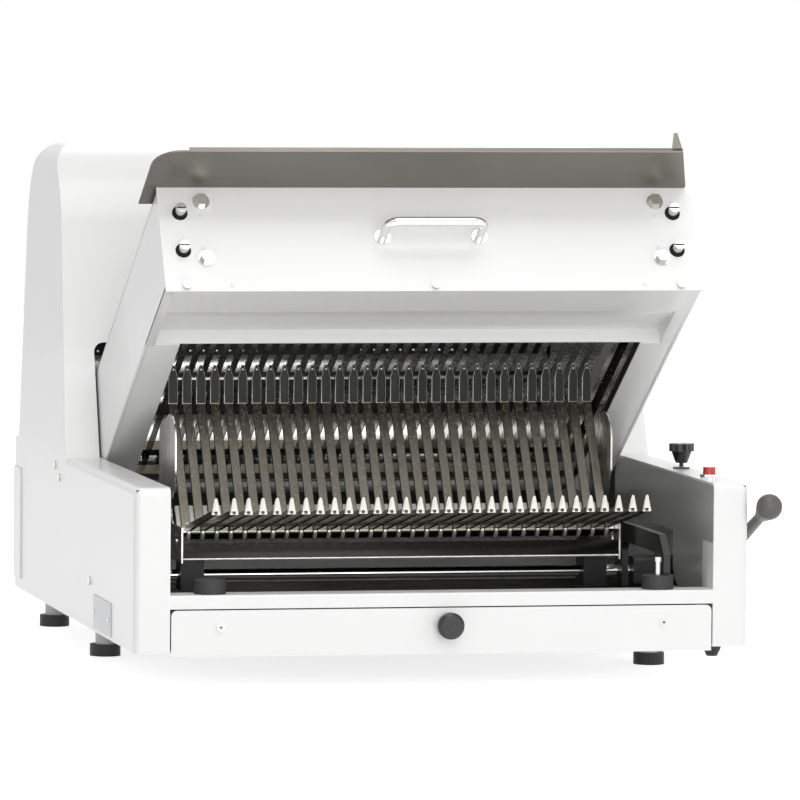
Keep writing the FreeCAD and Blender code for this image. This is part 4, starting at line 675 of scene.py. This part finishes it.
@dataclass(frozen=True)
class Comb:
    """Fingers that carry the loaf and the upright strips behind it, in millimetres.

    Attributes:
        pitch: Step from one finger to the next.
        count: Number of fingers and strips.
        first: Place of the first finger across the comb.
        bend: Place and level at which the strips bend.
        tip: Level of the strips' points.
        point: Length of a strip's point.
        point_profile: Half width and depth below the tip of the corners at the end of a point.
        lean: Lean of the strips' lower part, degrees.
        run: Length of the strips' lower part.
        wide: Width of a strip.
        thick: Thickness of a strip.
        stud_drop: How far a strip's stud lies below its tip.
        stud: Profile of that stud.
        root: Place and level of the root rod.
        rod: Radius of the root rod.
        ends: Ends of the root rod.
        finger_tip: Place and level of the fingers' tips.
        finger: Thickness of a finger.
        bar: Height of a finger at its tip.
        bar_rise: Length and height of the slope behind a finger's tip.
        bar_root: Set-back, upper and lower side of a finger at the root.
        leaf_wide: Width of the leaf turned up at a finger's tip.
        leaf: Height of the leaf.
        leaf_foot: Level up to which the leaf keeps its full width.
        leaf_point: Corners of the leaf's point, from the middle of its top.
        leaf_thick: Thickness of the leaf.
        leaf_dish: Rim and depth of the hollow in the leaf's front.
        stray: How far the first finger is bent aside at its tip.
        eye: Outer radius of the fingers' eyes.
        eye_half: Half the width of an eye.
        tube: Outer radius of the spacer tubes.
        tube_gap: Room between a finger's middle and the next tube.
        tube_slip: Room between a tube and the root rod.
    """

    pitch: float = 12.7
    count: int = 31
    first: float = -196.85
    bend: Pair = (240.0, 235.0)
    tip: float = 270.0
    point: float = 12.0
    point_profile: Profile = ((1.3, 0.9), (0.5, 0.0))
    lean: float = 33.3
    run: float = 127.4
    wide: float = 8.5
    thick: float = 2.4
    stud_drop: float = 4.4
    stud: Profile = ((0.0, 0.25), (0.55, 0.2), (0.85, 0.0), (0.0, 0.0))
    root: Pair = (165.0, 126.5)
    rod: float = 5.0
    ends: Pair = (-204.6, 191.9)
    finger_tip: Pair = (10.6, 153.6)
    finger: float = 3.2
    bar: float = 3.0
    bar_rise: Pair = (5.0, 1.4)
    bar_root: Triple = (4.0, 6.6, -0.4)
    leaf_wide: float = 7.8
    leaf: float = 14.6
    leaf_foot: float = 1.2
    leaf_point: Profile = ((-1.9, -3.0), (-1.2, -0.8), (-0.3, 0.0), (0.7, 0.0), (1.4, -0.9), (1.8, -3.0))
    leaf_thick: float = 2.6
    leaf_dish: Pair = (1.1, -0.7)
    stray: float = 3.4
    eye: float = 8.5
    eye_half: float = 1.6
    tube: float = 7.2
    tube_gap: float = 1.7
    tube_slip: float = 0.2

    def build(self) -> None:
        """Builds strips, studs, fingers, eyes, spacer tubes and the root rod."""
        self._strips()
        self._strip_studs()
        self._fingers()
        self._eyes()
        self._tubes()
        self._rod()

    def _repeat(self, shape: Shape, count: int) -> None:
        """Repeats a shape at the comb's pitch."""
        shape.row((self.pitch, 0.0, 0.0), count)

    def _strips(self) -> None:
        """Bends one pointed strip with bevelled edges, paints its upper part dark and its bevels bright, and repeats
        it.
        """
        shape = Shape()
        y, z = self.bend
        half = self.wide / 2.0
        left = [(-half, z), (-half, self.tip - self.point),
                *((-width, self.tip - depth) for width, depth in self.point_profile)]
        outline = left + [(-x, level) for x, level in reversed(left)]
        verts = shape.prism(outline, Along.Y, y - self.thick / 2.0, y + self.thick / 2.0)
        bmesh.ops.translate(shape.mesh, verts=verts, vec=(self.first, 0.0, 0.0))
        bottom = next(face for face in shape.mesh.faces if self._at_bend(face))
        grown = bmesh.ops.extrude_face_region(shape.mesh, geom=[bottom])["geom"]
        low = [item for item in grown if isinstance(item, bmesh.types.BMVert)]
        slope = math.radians(self.lean)
        fall = Vector((0.0, -math.sin(slope), -math.cos(slope))) * self.run
        bmesh.ops.translate(shape.mesh, verts=low, vec=fall)
        leftover = [face for face in shape.mesh.faces if self._at_bend(face)]
        bmesh.ops.delete(shape.mesh, geom=leftover, context="FACES_ONLY")
        shape.soften(list(shape.mesh.verts), width=0.75, segments=1)
        self._part_strip(shape)
        self._repeat(shape, self.count)
        shape.finish("comb_strips", "cradle", [STRIP_DARK_REFLECTION, STRIP_STEEL, PAINTED_HIGHLIGHT_STEEL], ("strips",), "strips")

    def _at_bend(self, face: bmesh.types.BMFace) -> bool:
        """Tells whether a face lies flat at the level of the bend."""
        return all(abs(vert.co.z - self.bend[1]) < 0.01 for vert in face.verts)

    def _part_strip(self, shape: Shape) -> None:
        """Gives a strip its own materials: a painted dark reflection on its upper part and low bevels, a painted
        highlight on its upper bevels and upward faces, and the plain steel on its lower part.
        """
        # Index 0 is the painted dark reflection, 2 the painted highlight.
        tip, lower, edge = 0, 1, 2
        highlight_low, highlight_high = 0.35, 0.95
        bend = self.bend[1]
        shape.mesh.normal_update()
        for face in shape.mesh.faces:
            level = face.calc_center_median().z
            slanted = highlight_low < abs(face.normal.x) < highlight_high
            if slanted or (face.normal.z > 0.3 and level > bend):
                face.material_index = edge if level > bend - 3.0 else tip
            elif level < bend + 0.5:
                face.material_index = lower

    def _strip_studs(self) -> None:
        """Sets a small stud in each strip's point, bright as a painted highlight."""
        shape = Shape()
        face = self.bend[0] - self.thick / 2.0
        shape.lathe(self.stud, (self.first, face, self.tip - self.stud_drop), (0.0, -1.0, 0.0), steps=10)
        self._repeat(shape, self.count)
        shape.finish("strip_studs", "cradle", [PAINTED_HIGHLIGHT_STEEL], (), "strips")

    def _fingers(self) -> None:
        """Shapes one finger with its turned-up leaf and repeats it; the first one is bent aside."""
        shape = Shape()
        tip_y, tip_z = self.finger_tip
        root_y, root_z = self.root
        run, rise = self.bar_rise
        back, over, under = self.bar_root
        outline = [(tip_y, tip_z), (tip_y, tip_z + self.bar), (tip_y + run, tip_z + self.bar + rise),
                   (root_y - back, root_z + over), (root_y - back, root_z + under)]
        shape.prism(outline, Along.X, self.first - self.finger / 2.0, self.first + self.finger / 2.0, soft=0.5,
                    segments=1)
        for face in shape.mesh.faces:
            face.material_index = 1
        self._leaf(shape)
        self._repeat(shape, self.count)
        for vert in shape.mesh.verts:
            if vert.co.x < self.first + self.pitch * 0.45:
                vert.co.x -= self.stray * (root_y - vert.co.y) / (root_y - tip_y)
        shape.finish("comb_fingers", "cradle", [LEAF_STEEL, FINGER_STEEL], ("fingers",), "fingers")

    def _leaf(self, shape: Shape) -> None:
        """Turns up the dished leaf at the first finger's tip."""
        tip_y, tip_z = self.finger_tip
        half = self.leaf_wide / 2.0
        point = [(x, self.leaf + z) for x, z in self.leaf_point]
        leaf = [(-half, 0.0), (-half, self.leaf_foot), *point, (half, self.leaf_foot), (half, 0.0)]
        before = set(shape.mesh.verts)
        shape.prism([(self.first + x, tip_z + z) for x, z in leaf], Along.Y, tip_y, tip_y + self.leaf_thick, soft=0.7)
        blade = [vert for vert in shape.mesh.verts if vert not in before]
        front = min((face for vert in blade for face in vert.link_faces),
                    key=lambda face: face.calc_center_median().y - 0.001 * face.calc_area())
        rim, depth = self.leaf_dish
        bmesh.ops.inset_individual(shape.mesh, faces=[front], thickness=rim, depth=depth)

    def _eyes(self) -> None:
        """Turns the eyes by which the fingers hang on the root rod, bright as a painted highlight."""
        shape = Shape()
        profile = ring(self.rod, self.eye, -self.eye_half, self.eye_half, soft=0.5)
        shape.lathe(profile, (self.first, *self.root), (1.0, 0.0, 0.0), steps=28)
        self._repeat(shape, self.count)
        shape.finish("finger_eyes", "cradle", [PAINTED_HIGHLIGHT_STEEL], (), "fingers")

    def _tubes(self) -> None:
        """Turns the spacer tubes between the eyes."""
        shape = Shape()
        profile = ring(self.rod + self.tube_slip, self.tube, self.tube_gap, self.pitch - self.tube_gap, soft=0.7)
        shape.lathe(profile, (self.first, *self.root), (1.0, 0.0, 0.0), steps=28)
        self._repeat(shape, self.count - 1)
        shape.finish("comb_tubes", "cradle", [TUBE_STEEL], ("spacer_tubes",), "spacer_tubes")

    def _rod(self) -> None:
        """Turns the rod through all eyes and tubes."""
        shape = Shape()
        left, right = self.ends
        shape.rod((left, *self.root), (right, *self.root), self.rod, steps=24)
        shape.finish("comb_rod", "cradle", [BRIGHT_STEEL], ("root_rod",), "root_rod")


@dataclass(frozen=True)
class FrameStiffener:
    """Upright plate that stiffens the lower bar of the first blade frame, in millimetres of the head.

    Attributes:
        half: Half the plate's length.
        front: Front face, from the pivot.
        sheet: Thickness.
        low: Lower edge.
        high: Upper edge.
    """

    half: float = 211.0
    front: float = 76.0
    sheet: float = 4.0
    low: float = -3.0
    high: float = 21.5

    def build(self) -> None:
        """Builds the plate with softened edges."""
        shape = Shape(Place.HEAD)
        outline = corners(self.front - self.sheet, self.low, self.front, self.high)
        shape.prism(outline, Along.X, -self.half, self.half, soft=0.8)
        # The plate's bright steel is a painted highlight.
        shape.finish("frame_stiffener", "blade_frame_a", [PAINTED_HIGHLIGHT_STEEL], (), "frame_bars_a")


@dataclass(frozen=True)
class ShelfLip:
    """Turned-down front lip of the comb's shelf with its hem, bright as a painted highlight, in millimetres.

    Attributes:
        ends: Ends of the lip.
        front: Front face of the lip at its lower edge.
        low: Lower edge.
        high: Upper edge.
        lean: How far the lip leans back at its upper edge.
        sheet: Sheet thickness.
        hem: Radius of the hem.
        hem_back: Set-back of the hem's middle from the front face.
        hem_drop: How far the hem's middle lies below the lower edge.
    """

    ends: Pair = (-204.6, 191.9)
    front: float = 143.0
    low: float = 104.0
    high: float = 117.5
    lean: float = 3.0
    sheet: float = 1.6
    hem: float = 1.1
    hem_back: float = 1.0
    hem_drop: float = 0.3

    def build(self) -> None:
        """Builds the lip and its hem."""
        shape = Shape()
        foot, head = self.front - self.sheet, self.front + self.lean
        outline = [(foot, self.low), (self.front, self.low), (head, self.high), (head - self.sheet, self.high)]
        shape.prism(outline, Along.X, *self.ends, soft=0.4)
        shape.finish("shelf_lip", "cradle", [SHELF_STEEL], (), "comb_shelf")
        shape = Shape()
        start, end = ((x, self.front - self.hem_back, self.low - self.hem_drop) for x in self.ends)
        shape.rod(start, end, self.hem, steps=12)
        shape.finish("shelf_hem", "cradle", [PAINTED_HIGHLIGHT_STEEL], (), "comb_shelf")


@dataclass(frozen=True)
class Bulkhead:
    """Sheet inside the cover that closes the drive off, near black as painted shade, with its polished ribs, in
    millimetres.

    Attributes:
        half: Half the sheet's width.
        low: Lower edge.
        high: Upper edge.
        corner: Cut of the upper corners.
        place: Front face of the sheet.
        sheet: Sheet thickness.
        ribs: Lower edge, upper edge and tilt in degrees of each rib.
        rib_inset: How far the ribs end inside the sheet's ends.
        rib_thick: Thickness of a rib at its upper edge.
        stud: Profile of a stud.
        stud_level: Level of the row of studs.
        stud_pitch: Step from stud to stud.
        studs: Number of studs.
    """

    half: float = 236.0
    low: float = 84.0
    high: float = 300.0
    corner: float = 14.0
    place: float = 600.0
    sheet: float = 2.0
    ribs: tuple[Triple, ...] = ((156.5, 162.0, 10.3), (183.0, 200.5, 8.1), (210.5, 222.5, 6.5), (233.0, 236.6, 5.2),
                                (240.4, 257.0, 4.3))
    rib_inset: float = 3.0
    rib_thick: float = 1.0
    stud: Profile = ((0.0, 1.4), (1.3, 1.1), (1.7, 0.0), (0.0, 0.0))
    stud_level: float = 261.0
    stud_pitch: float = 12.7
    studs: int = 33

    def build(self) -> None:
        """Builds the sheet, its ribs and its studs."""
        self._sheet()
        self._ribs()
        self._studs()

    def _sheet(self) -> None:
        """Cuts the sheet with its two upper corners off."""
        shape = Shape()
        inner, shoulder = self.half - self.corner, self.high - self.corner
        outline = [(-self.half, self.low), (self.half, self.low), (self.half, shoulder), (inner, self.high),
                   (-inner, self.high), (-self.half, shoulder)]
        shape.prism(outline, Along.Y, self.place, self.place + self.sheet, soft=0.6)
        # Near-black steel: painted shade of the cover's inside.
        shape.finish("drive_bulkhead", "base", [BULKHEAD_SHADE], (), "deck")

    def _ribs(self) -> None:
        """Builds the ribs, each tilted so that its foot stands further out."""
        shape = Shape()
        edge = self.half - self.rib_inset
        face = self.place - self.rib_thick
        for low, high, tilt in self.ribs:
            foot = (high - low) * math.tan(math.radians(tilt))
            outline = [(self.place, low), (self.place, high), (face, high), (face - foot, low)]
            shape.prism(outline, Along.X, -edge, edge, soft=0.3)
        shape.finish("bulkhead_ribs", "base", [MIRROR_STEEL], (), "deck")

    def _studs(self) -> None:
        """Sets the row of studs."""
        shape = Shape()
        start = -self.stud_pitch * (self.studs - 1) / 2.0
        shape.lathe(self.stud, (start, self.place, self.stud_level), (0.0, -1.0, 0.0), steps=12)
        shape.row((self.stud_pitch, 0.0, 0.0), self.studs)
        shape.finish("bulkhead_studs", "base", [MIRROR_STEEL], (), "deck")


@dataclass(frozen=True)
class Fasteners:
    """Rims, recesses and slots of the head's and the tray's screws, near black as painted shade, in millimetres.

    Attributes:
        panel: Front face of the head's panel.
        plungers: Places of the plungers on the panel.
        plunger_radius: Radius of a plunger.
        plunger_out: How far a plunger stands out.
        rim: Width and height of the rim round a plunger.
        rim_edge: Width and lower level of the rim's bevel.
        rim_slip: Room between a rim and its plunger.
        slot: Half length and half width of a plunger's slot.
        slot_ends: Rear and front end of a slot, from the plunger's end.
        tray_screws: Places of the tray's screws.
        cross: Half length and half width of a crossed recess.
        cross_ends: Front and rear end of a crossed recess.
        dimples: Places of the panel's weld dimples.
        dimple: Profile of a dimple.
    """

    panel: float = 484.6
    plungers: Profile = ((-221.4, 20.6), (-221.4, -16.2), (221.4, 20.6), (221.4, -16.2))
    plunger_radius: float = 4.6
    plunger_out: float = 11.0
    rim: Pair = (2.3, 0.6)
    rim_edge: Pair = (0.4, 0.35)
    rim_slip: float = 0.05
    slot: Pair = (4.0, 0.45)
    slot_ends: Pair = (-0.4, 0.06)
    tray_screws: Profile = ((-197.5, 57.0), (197.5, 57.0))
    cross: Pair = (1.9, 0.35)
    cross_ends: Pair = (-1.84, -1.2)
    dimples: Profile = ((-203.5, 17.5), (-203.5, -14.0), (204.5, 17.5), (204.5, -14.0),
                                 (-181.0, -50.5), (188.0, -50.5))
    dimple: Profile = ((0.0, 0.5), (1.2, 0.35), (2.1, 0.0), (0.0, 0.0))

    def build(self) -> None:
        """Builds rims, slots, recesses and dimples."""
        self._rims()
        self._plunger_slots()
        self._crosses()
        self._dimples()

    def _on_panel(self, profile: Profile, spots: Profile, steps: int) -> Shape:
        """Turns a profile at each of some places on the head's panel.

        Args:
            profile: Radius and height of each corner.
            spots: Places on the panel.
            steps: Facets round each turned form.

        Returns:
            The shape with one turned form at each place.
        """
        shape = Shape(Place.HEAD)
        for x, level in spots:
            shape.lathe(profile, (x, self.panel, level), (0.0, 1.0, 0.0), steps)
        return shape

    def _rims(self) -> None:
        """Lays a dark rim round each plunger's hole, painted shade of the gap round the plunger."""
        wide, tall = self.rim
        bevel, bevel_level = self.rim_edge
        inner, outer = self.plunger_radius + self.rim_slip, self.plunger_radius + wide
        profile = ((inner, 0.0), (outer, 0.0), (outer, bevel_level), (outer - bevel, tall), (inner, tall))
        shape = self._on_panel(profile, self.plungers, steps=28)
        shape.finish("plunger_rims", "head", [RECESS_SHADE], (), "plungers")

    def _plunger_slots(self) -> None:
        """Sets a near-black bar in each plunger's end, painted shade of a screwdriver slot."""
        shape = Shape(Place.HEAD)
        end = self.panel + self.plunger_out
        long, wide = self.slot
        start, stop = self.slot_ends
        for x, level in self.plungers:
            outline = corners(x - long, level - wide, x + long, level + wide)
            shape.prism(outline, Along.Y, end + start, end + stop)
        shape.finish("plunger_slots", "head", [RECESS_SHADE], (), "plungers")

    def _crosses(self) -> None:
        """Sets a near-black cross in each tray screw, painted shade of its crossed recess."""
        shape = Shape()
        long, wide = self.cross
        for x, level in self.tray_screws:
            for across, up in ((wide, long), (long, wide)):
                outline = corners(x - across, level - up, x + across, level + up)
                shape.prism(outline, Along.Y, *self.cross_ends)
        shape.finish("tray_screw_recesses", "tray", [RECESS_SHADE], (), "tray_screws")

    def _dimples(self) -> None:
        """Raises the small weld dimples of the head's panel in darker enamel, painted shade."""
        shape = self._on_panel(self.dimple, self.dimples, steps=20)
        shape.finish("panel_dimples", "head", [SHADED_ENAMEL], (), "head_panel")


@dataclass(frozen=True)
class Lamp:
    """One square soft lamp, with its place, target and side in metres and its power in watts."""

    name: str
    place: Triple
    target: Triple
    size: float
    power: float

    def build(self) -> None:
        """Places the lamp and aims it."""
        data = bpy.data.lights.new(self.name, "AREA")
        data.size = self.size
        data.energy = self.power
        lamp = add_object(self.name, data)
        aim = Vector(self.target) - Vector(self.place)
        lamp.matrix_world = Matrix.Translation(self.place) @ aim.to_track_quat("-Z", "Y").to_matrix().to_4x4()


LAMPS = (
    Lamp("key", (-0.3, -3.0, 2.0), (0.0, 0.25, 0.25), 1.6, 15.0),
    Lamp("front", (0.0, -3.0, 0.16), (0.0, 0.1, 0.30), 1.5, 27.0),
    Lamp("fill", (2.4, -1.8, 1.2), (0.0, 0.25, 0.25), 1.8, 11.0),
    Lamp("top", (0.0, -0.6, 2.8), (0.0, 0.3, 0.2), 2.0, 24.0),
    Lamp("back", (0.6, 2.6, 1.8), (0.0, 0.3, 0.2), 1.8, 11.0),
)


@dataclass(frozen=True)
class Studio:
    """Pale floor, soft lamps and the camera.

    Attributes:
        camera_place: Camera position in metres.
        yaw: Turn to the right of +Y, degrees.
        pitch: Downward tilt, degrees.
        roll: Roll, degrees.
        lens: Focal length in millimetres.
        sensor: Sensor width in millimetres.
        clip: Nearest and furthest distance that the camera sees, in metres.
        ambient: Strength of the world as a light.
        floor_half: Half the floor's side in metres.
        floor_tone: The floor's grey.
        floor_rough: The floor's roughness.
        floor_shine: The floor's specular level.
        floor_lift: Glow of the floor for the camera and for reflections.
        lamps: The lamps.
    """

    camera_place: Triple = (-1.357, -6.094, 0.662)
    yaw: float = 12.19
    pitch: float = 3.75
    roll: float = 0.50
    lens: float = 324.0
    sensor: float = 36.0
    clip: Pair = (0.1, 60.0)
    ambient: float = 0.47
    floor_half: float = 6.0
    floor_tone: float = 0.86
    floor_rough: float = 0.9
    floor_shine: float = 0.1
    floor_lift: float = 0.72
    lamps: tuple[Lamp, ...] = LAMPS

    def build(self) -> None:
        """Builds the whole studio."""
        self._camera()
        self._world()
        self._floor()
        for lamp in self.lamps:
            lamp.build()
        bpy.context.scene.view_settings.view_transform = "Standard"
        LOG.info("studio: camera, floor and %d lamps", len(self.lamps))

    def _camera(self) -> None:
        """Aims the camera by yaw, pitch and roll."""
        yaw, pitch, roll = (math.radians(angle) for angle in (self.yaw, self.pitch, self.roll))
        upright = Vector((0.0, 0.0, 1.0))
        right = Vector((math.cos(yaw), -math.sin(yaw), 0.0))
        level = Vector((math.sin(yaw), math.cos(yaw), 0.0))
        ahead = level * math.cos(pitch) - upright * math.sin(pitch)
        above = level * math.sin(pitch) + upright * math.cos(pitch)
        side = right * math.cos(roll) + above * math.sin(roll)
        top = above * math.cos(roll) - right * math.sin(roll)
        data = bpy.data.cameras.new("camera")
        data.lens = self.lens
        data.sensor_width = self.sensor
        data.clip_start, data.clip_end = self.clip
        camera = add_object("camera", data)
        turn = Matrix((side, top, -ahead)).transposed().to_4x4()
        camera.matrix_world = Matrix.Translation(self.camera_place) @ turn
        bpy.context.scene.camera = camera

    def _world(self) -> None:
        """Makes the world white to the camera and in reflections, and a soft grey as a light."""
        world = bpy.data.worlds.new("studio")
        world.use_nodes = True
        bpy.context.scene.world = world
        tree = world.node_tree
        background = tree.nodes["Background"]
        path = tree.nodes.new("ShaderNodeLightPath")
        mirrored = calculate(tree, "MAXIMUM", path.outputs["Is Glossy Ray"], path.outputs["Is Transmission Ray"])
        seen = calculate(tree, "MAXIMUM", path.outputs["Is Camera Ray"], mirrored)
        strength = tree.nodes.new("ShaderNodeMapRange")
        preset(strength, {"To Min": self.ambient, "To Max": 1.0})
        link(tree, seen, strength.inputs["Value"])
        preset(background, {"Color": WHITE})
        link(tree, strength.outputs["Result"], background.inputs["Strength"])

    def _floor(self) -> None:
        """Lays a pale floor that keeps a faint shadow."""
        shape = bmesh.new()
        bmesh.ops.create_grid(shape, x_segments=1, y_segments=1, size=self.floor_half)
        mesh = bpy.data.meshes.new("floor")
        shape.to_mesh(mesh)
        shape.free()
        floor = add_object("floor", mesh)
        material = bpy.data.materials.new("floor_white")
        material.use_nodes = True
        tree = material.node_tree
        shader = tree.nodes["Principled BSDF"]
        preset(shader, {"Base Color": (self.floor_tone, self.floor_tone, self.floor_tone, 1.0),
                        "Roughness": self.floor_rough, "Specular IOR Level": self.floor_shine,
                        "Emission Color": WHITE})
        path = tree.nodes.new("ShaderNodeLightPath")
        seen = calculate(tree, "MAXIMUM", path.outputs["Is Camera Ray"], path.outputs["Is Glossy Ray"])
        link(tree, calculate(tree, "MULTIPLY", seen, self.floor_lift), shader.inputs["Emission Strength"])
        floor.data.materials.append(material)


ASSEMBLIES = (Throat(), Guard(), Comb(), ShelfLip(), FrameStiffener(), Bulkhead(), Fasteners())


def dress_nodes(nodes: dict[str, bpy.types.Object]) -> None:
    """Gives every carried-over node its finish.

    Args:
        nodes: The frame's node objects by name.
    """
    for finish, names in NODE_FINISH.items():
        for name in names:
            if name in nodes:
                dress(nodes[name], finish)
    LOG.info("dressed %d nodes", sum(len(names) for names in NODE_FINISH.values()))


def main() -> None:
    """Builds the dressed slicer in its studio."""
    logging.basicConfig(level=logging.INFO, format="%(name)s: %(message)s")
    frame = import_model()
    Studio().build()
    dress_nodes(frame["nodes"])
    for assembly in ASSEMBLIES:
        assembly.build()
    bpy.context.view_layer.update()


if __name__ == "__main__":
    main()
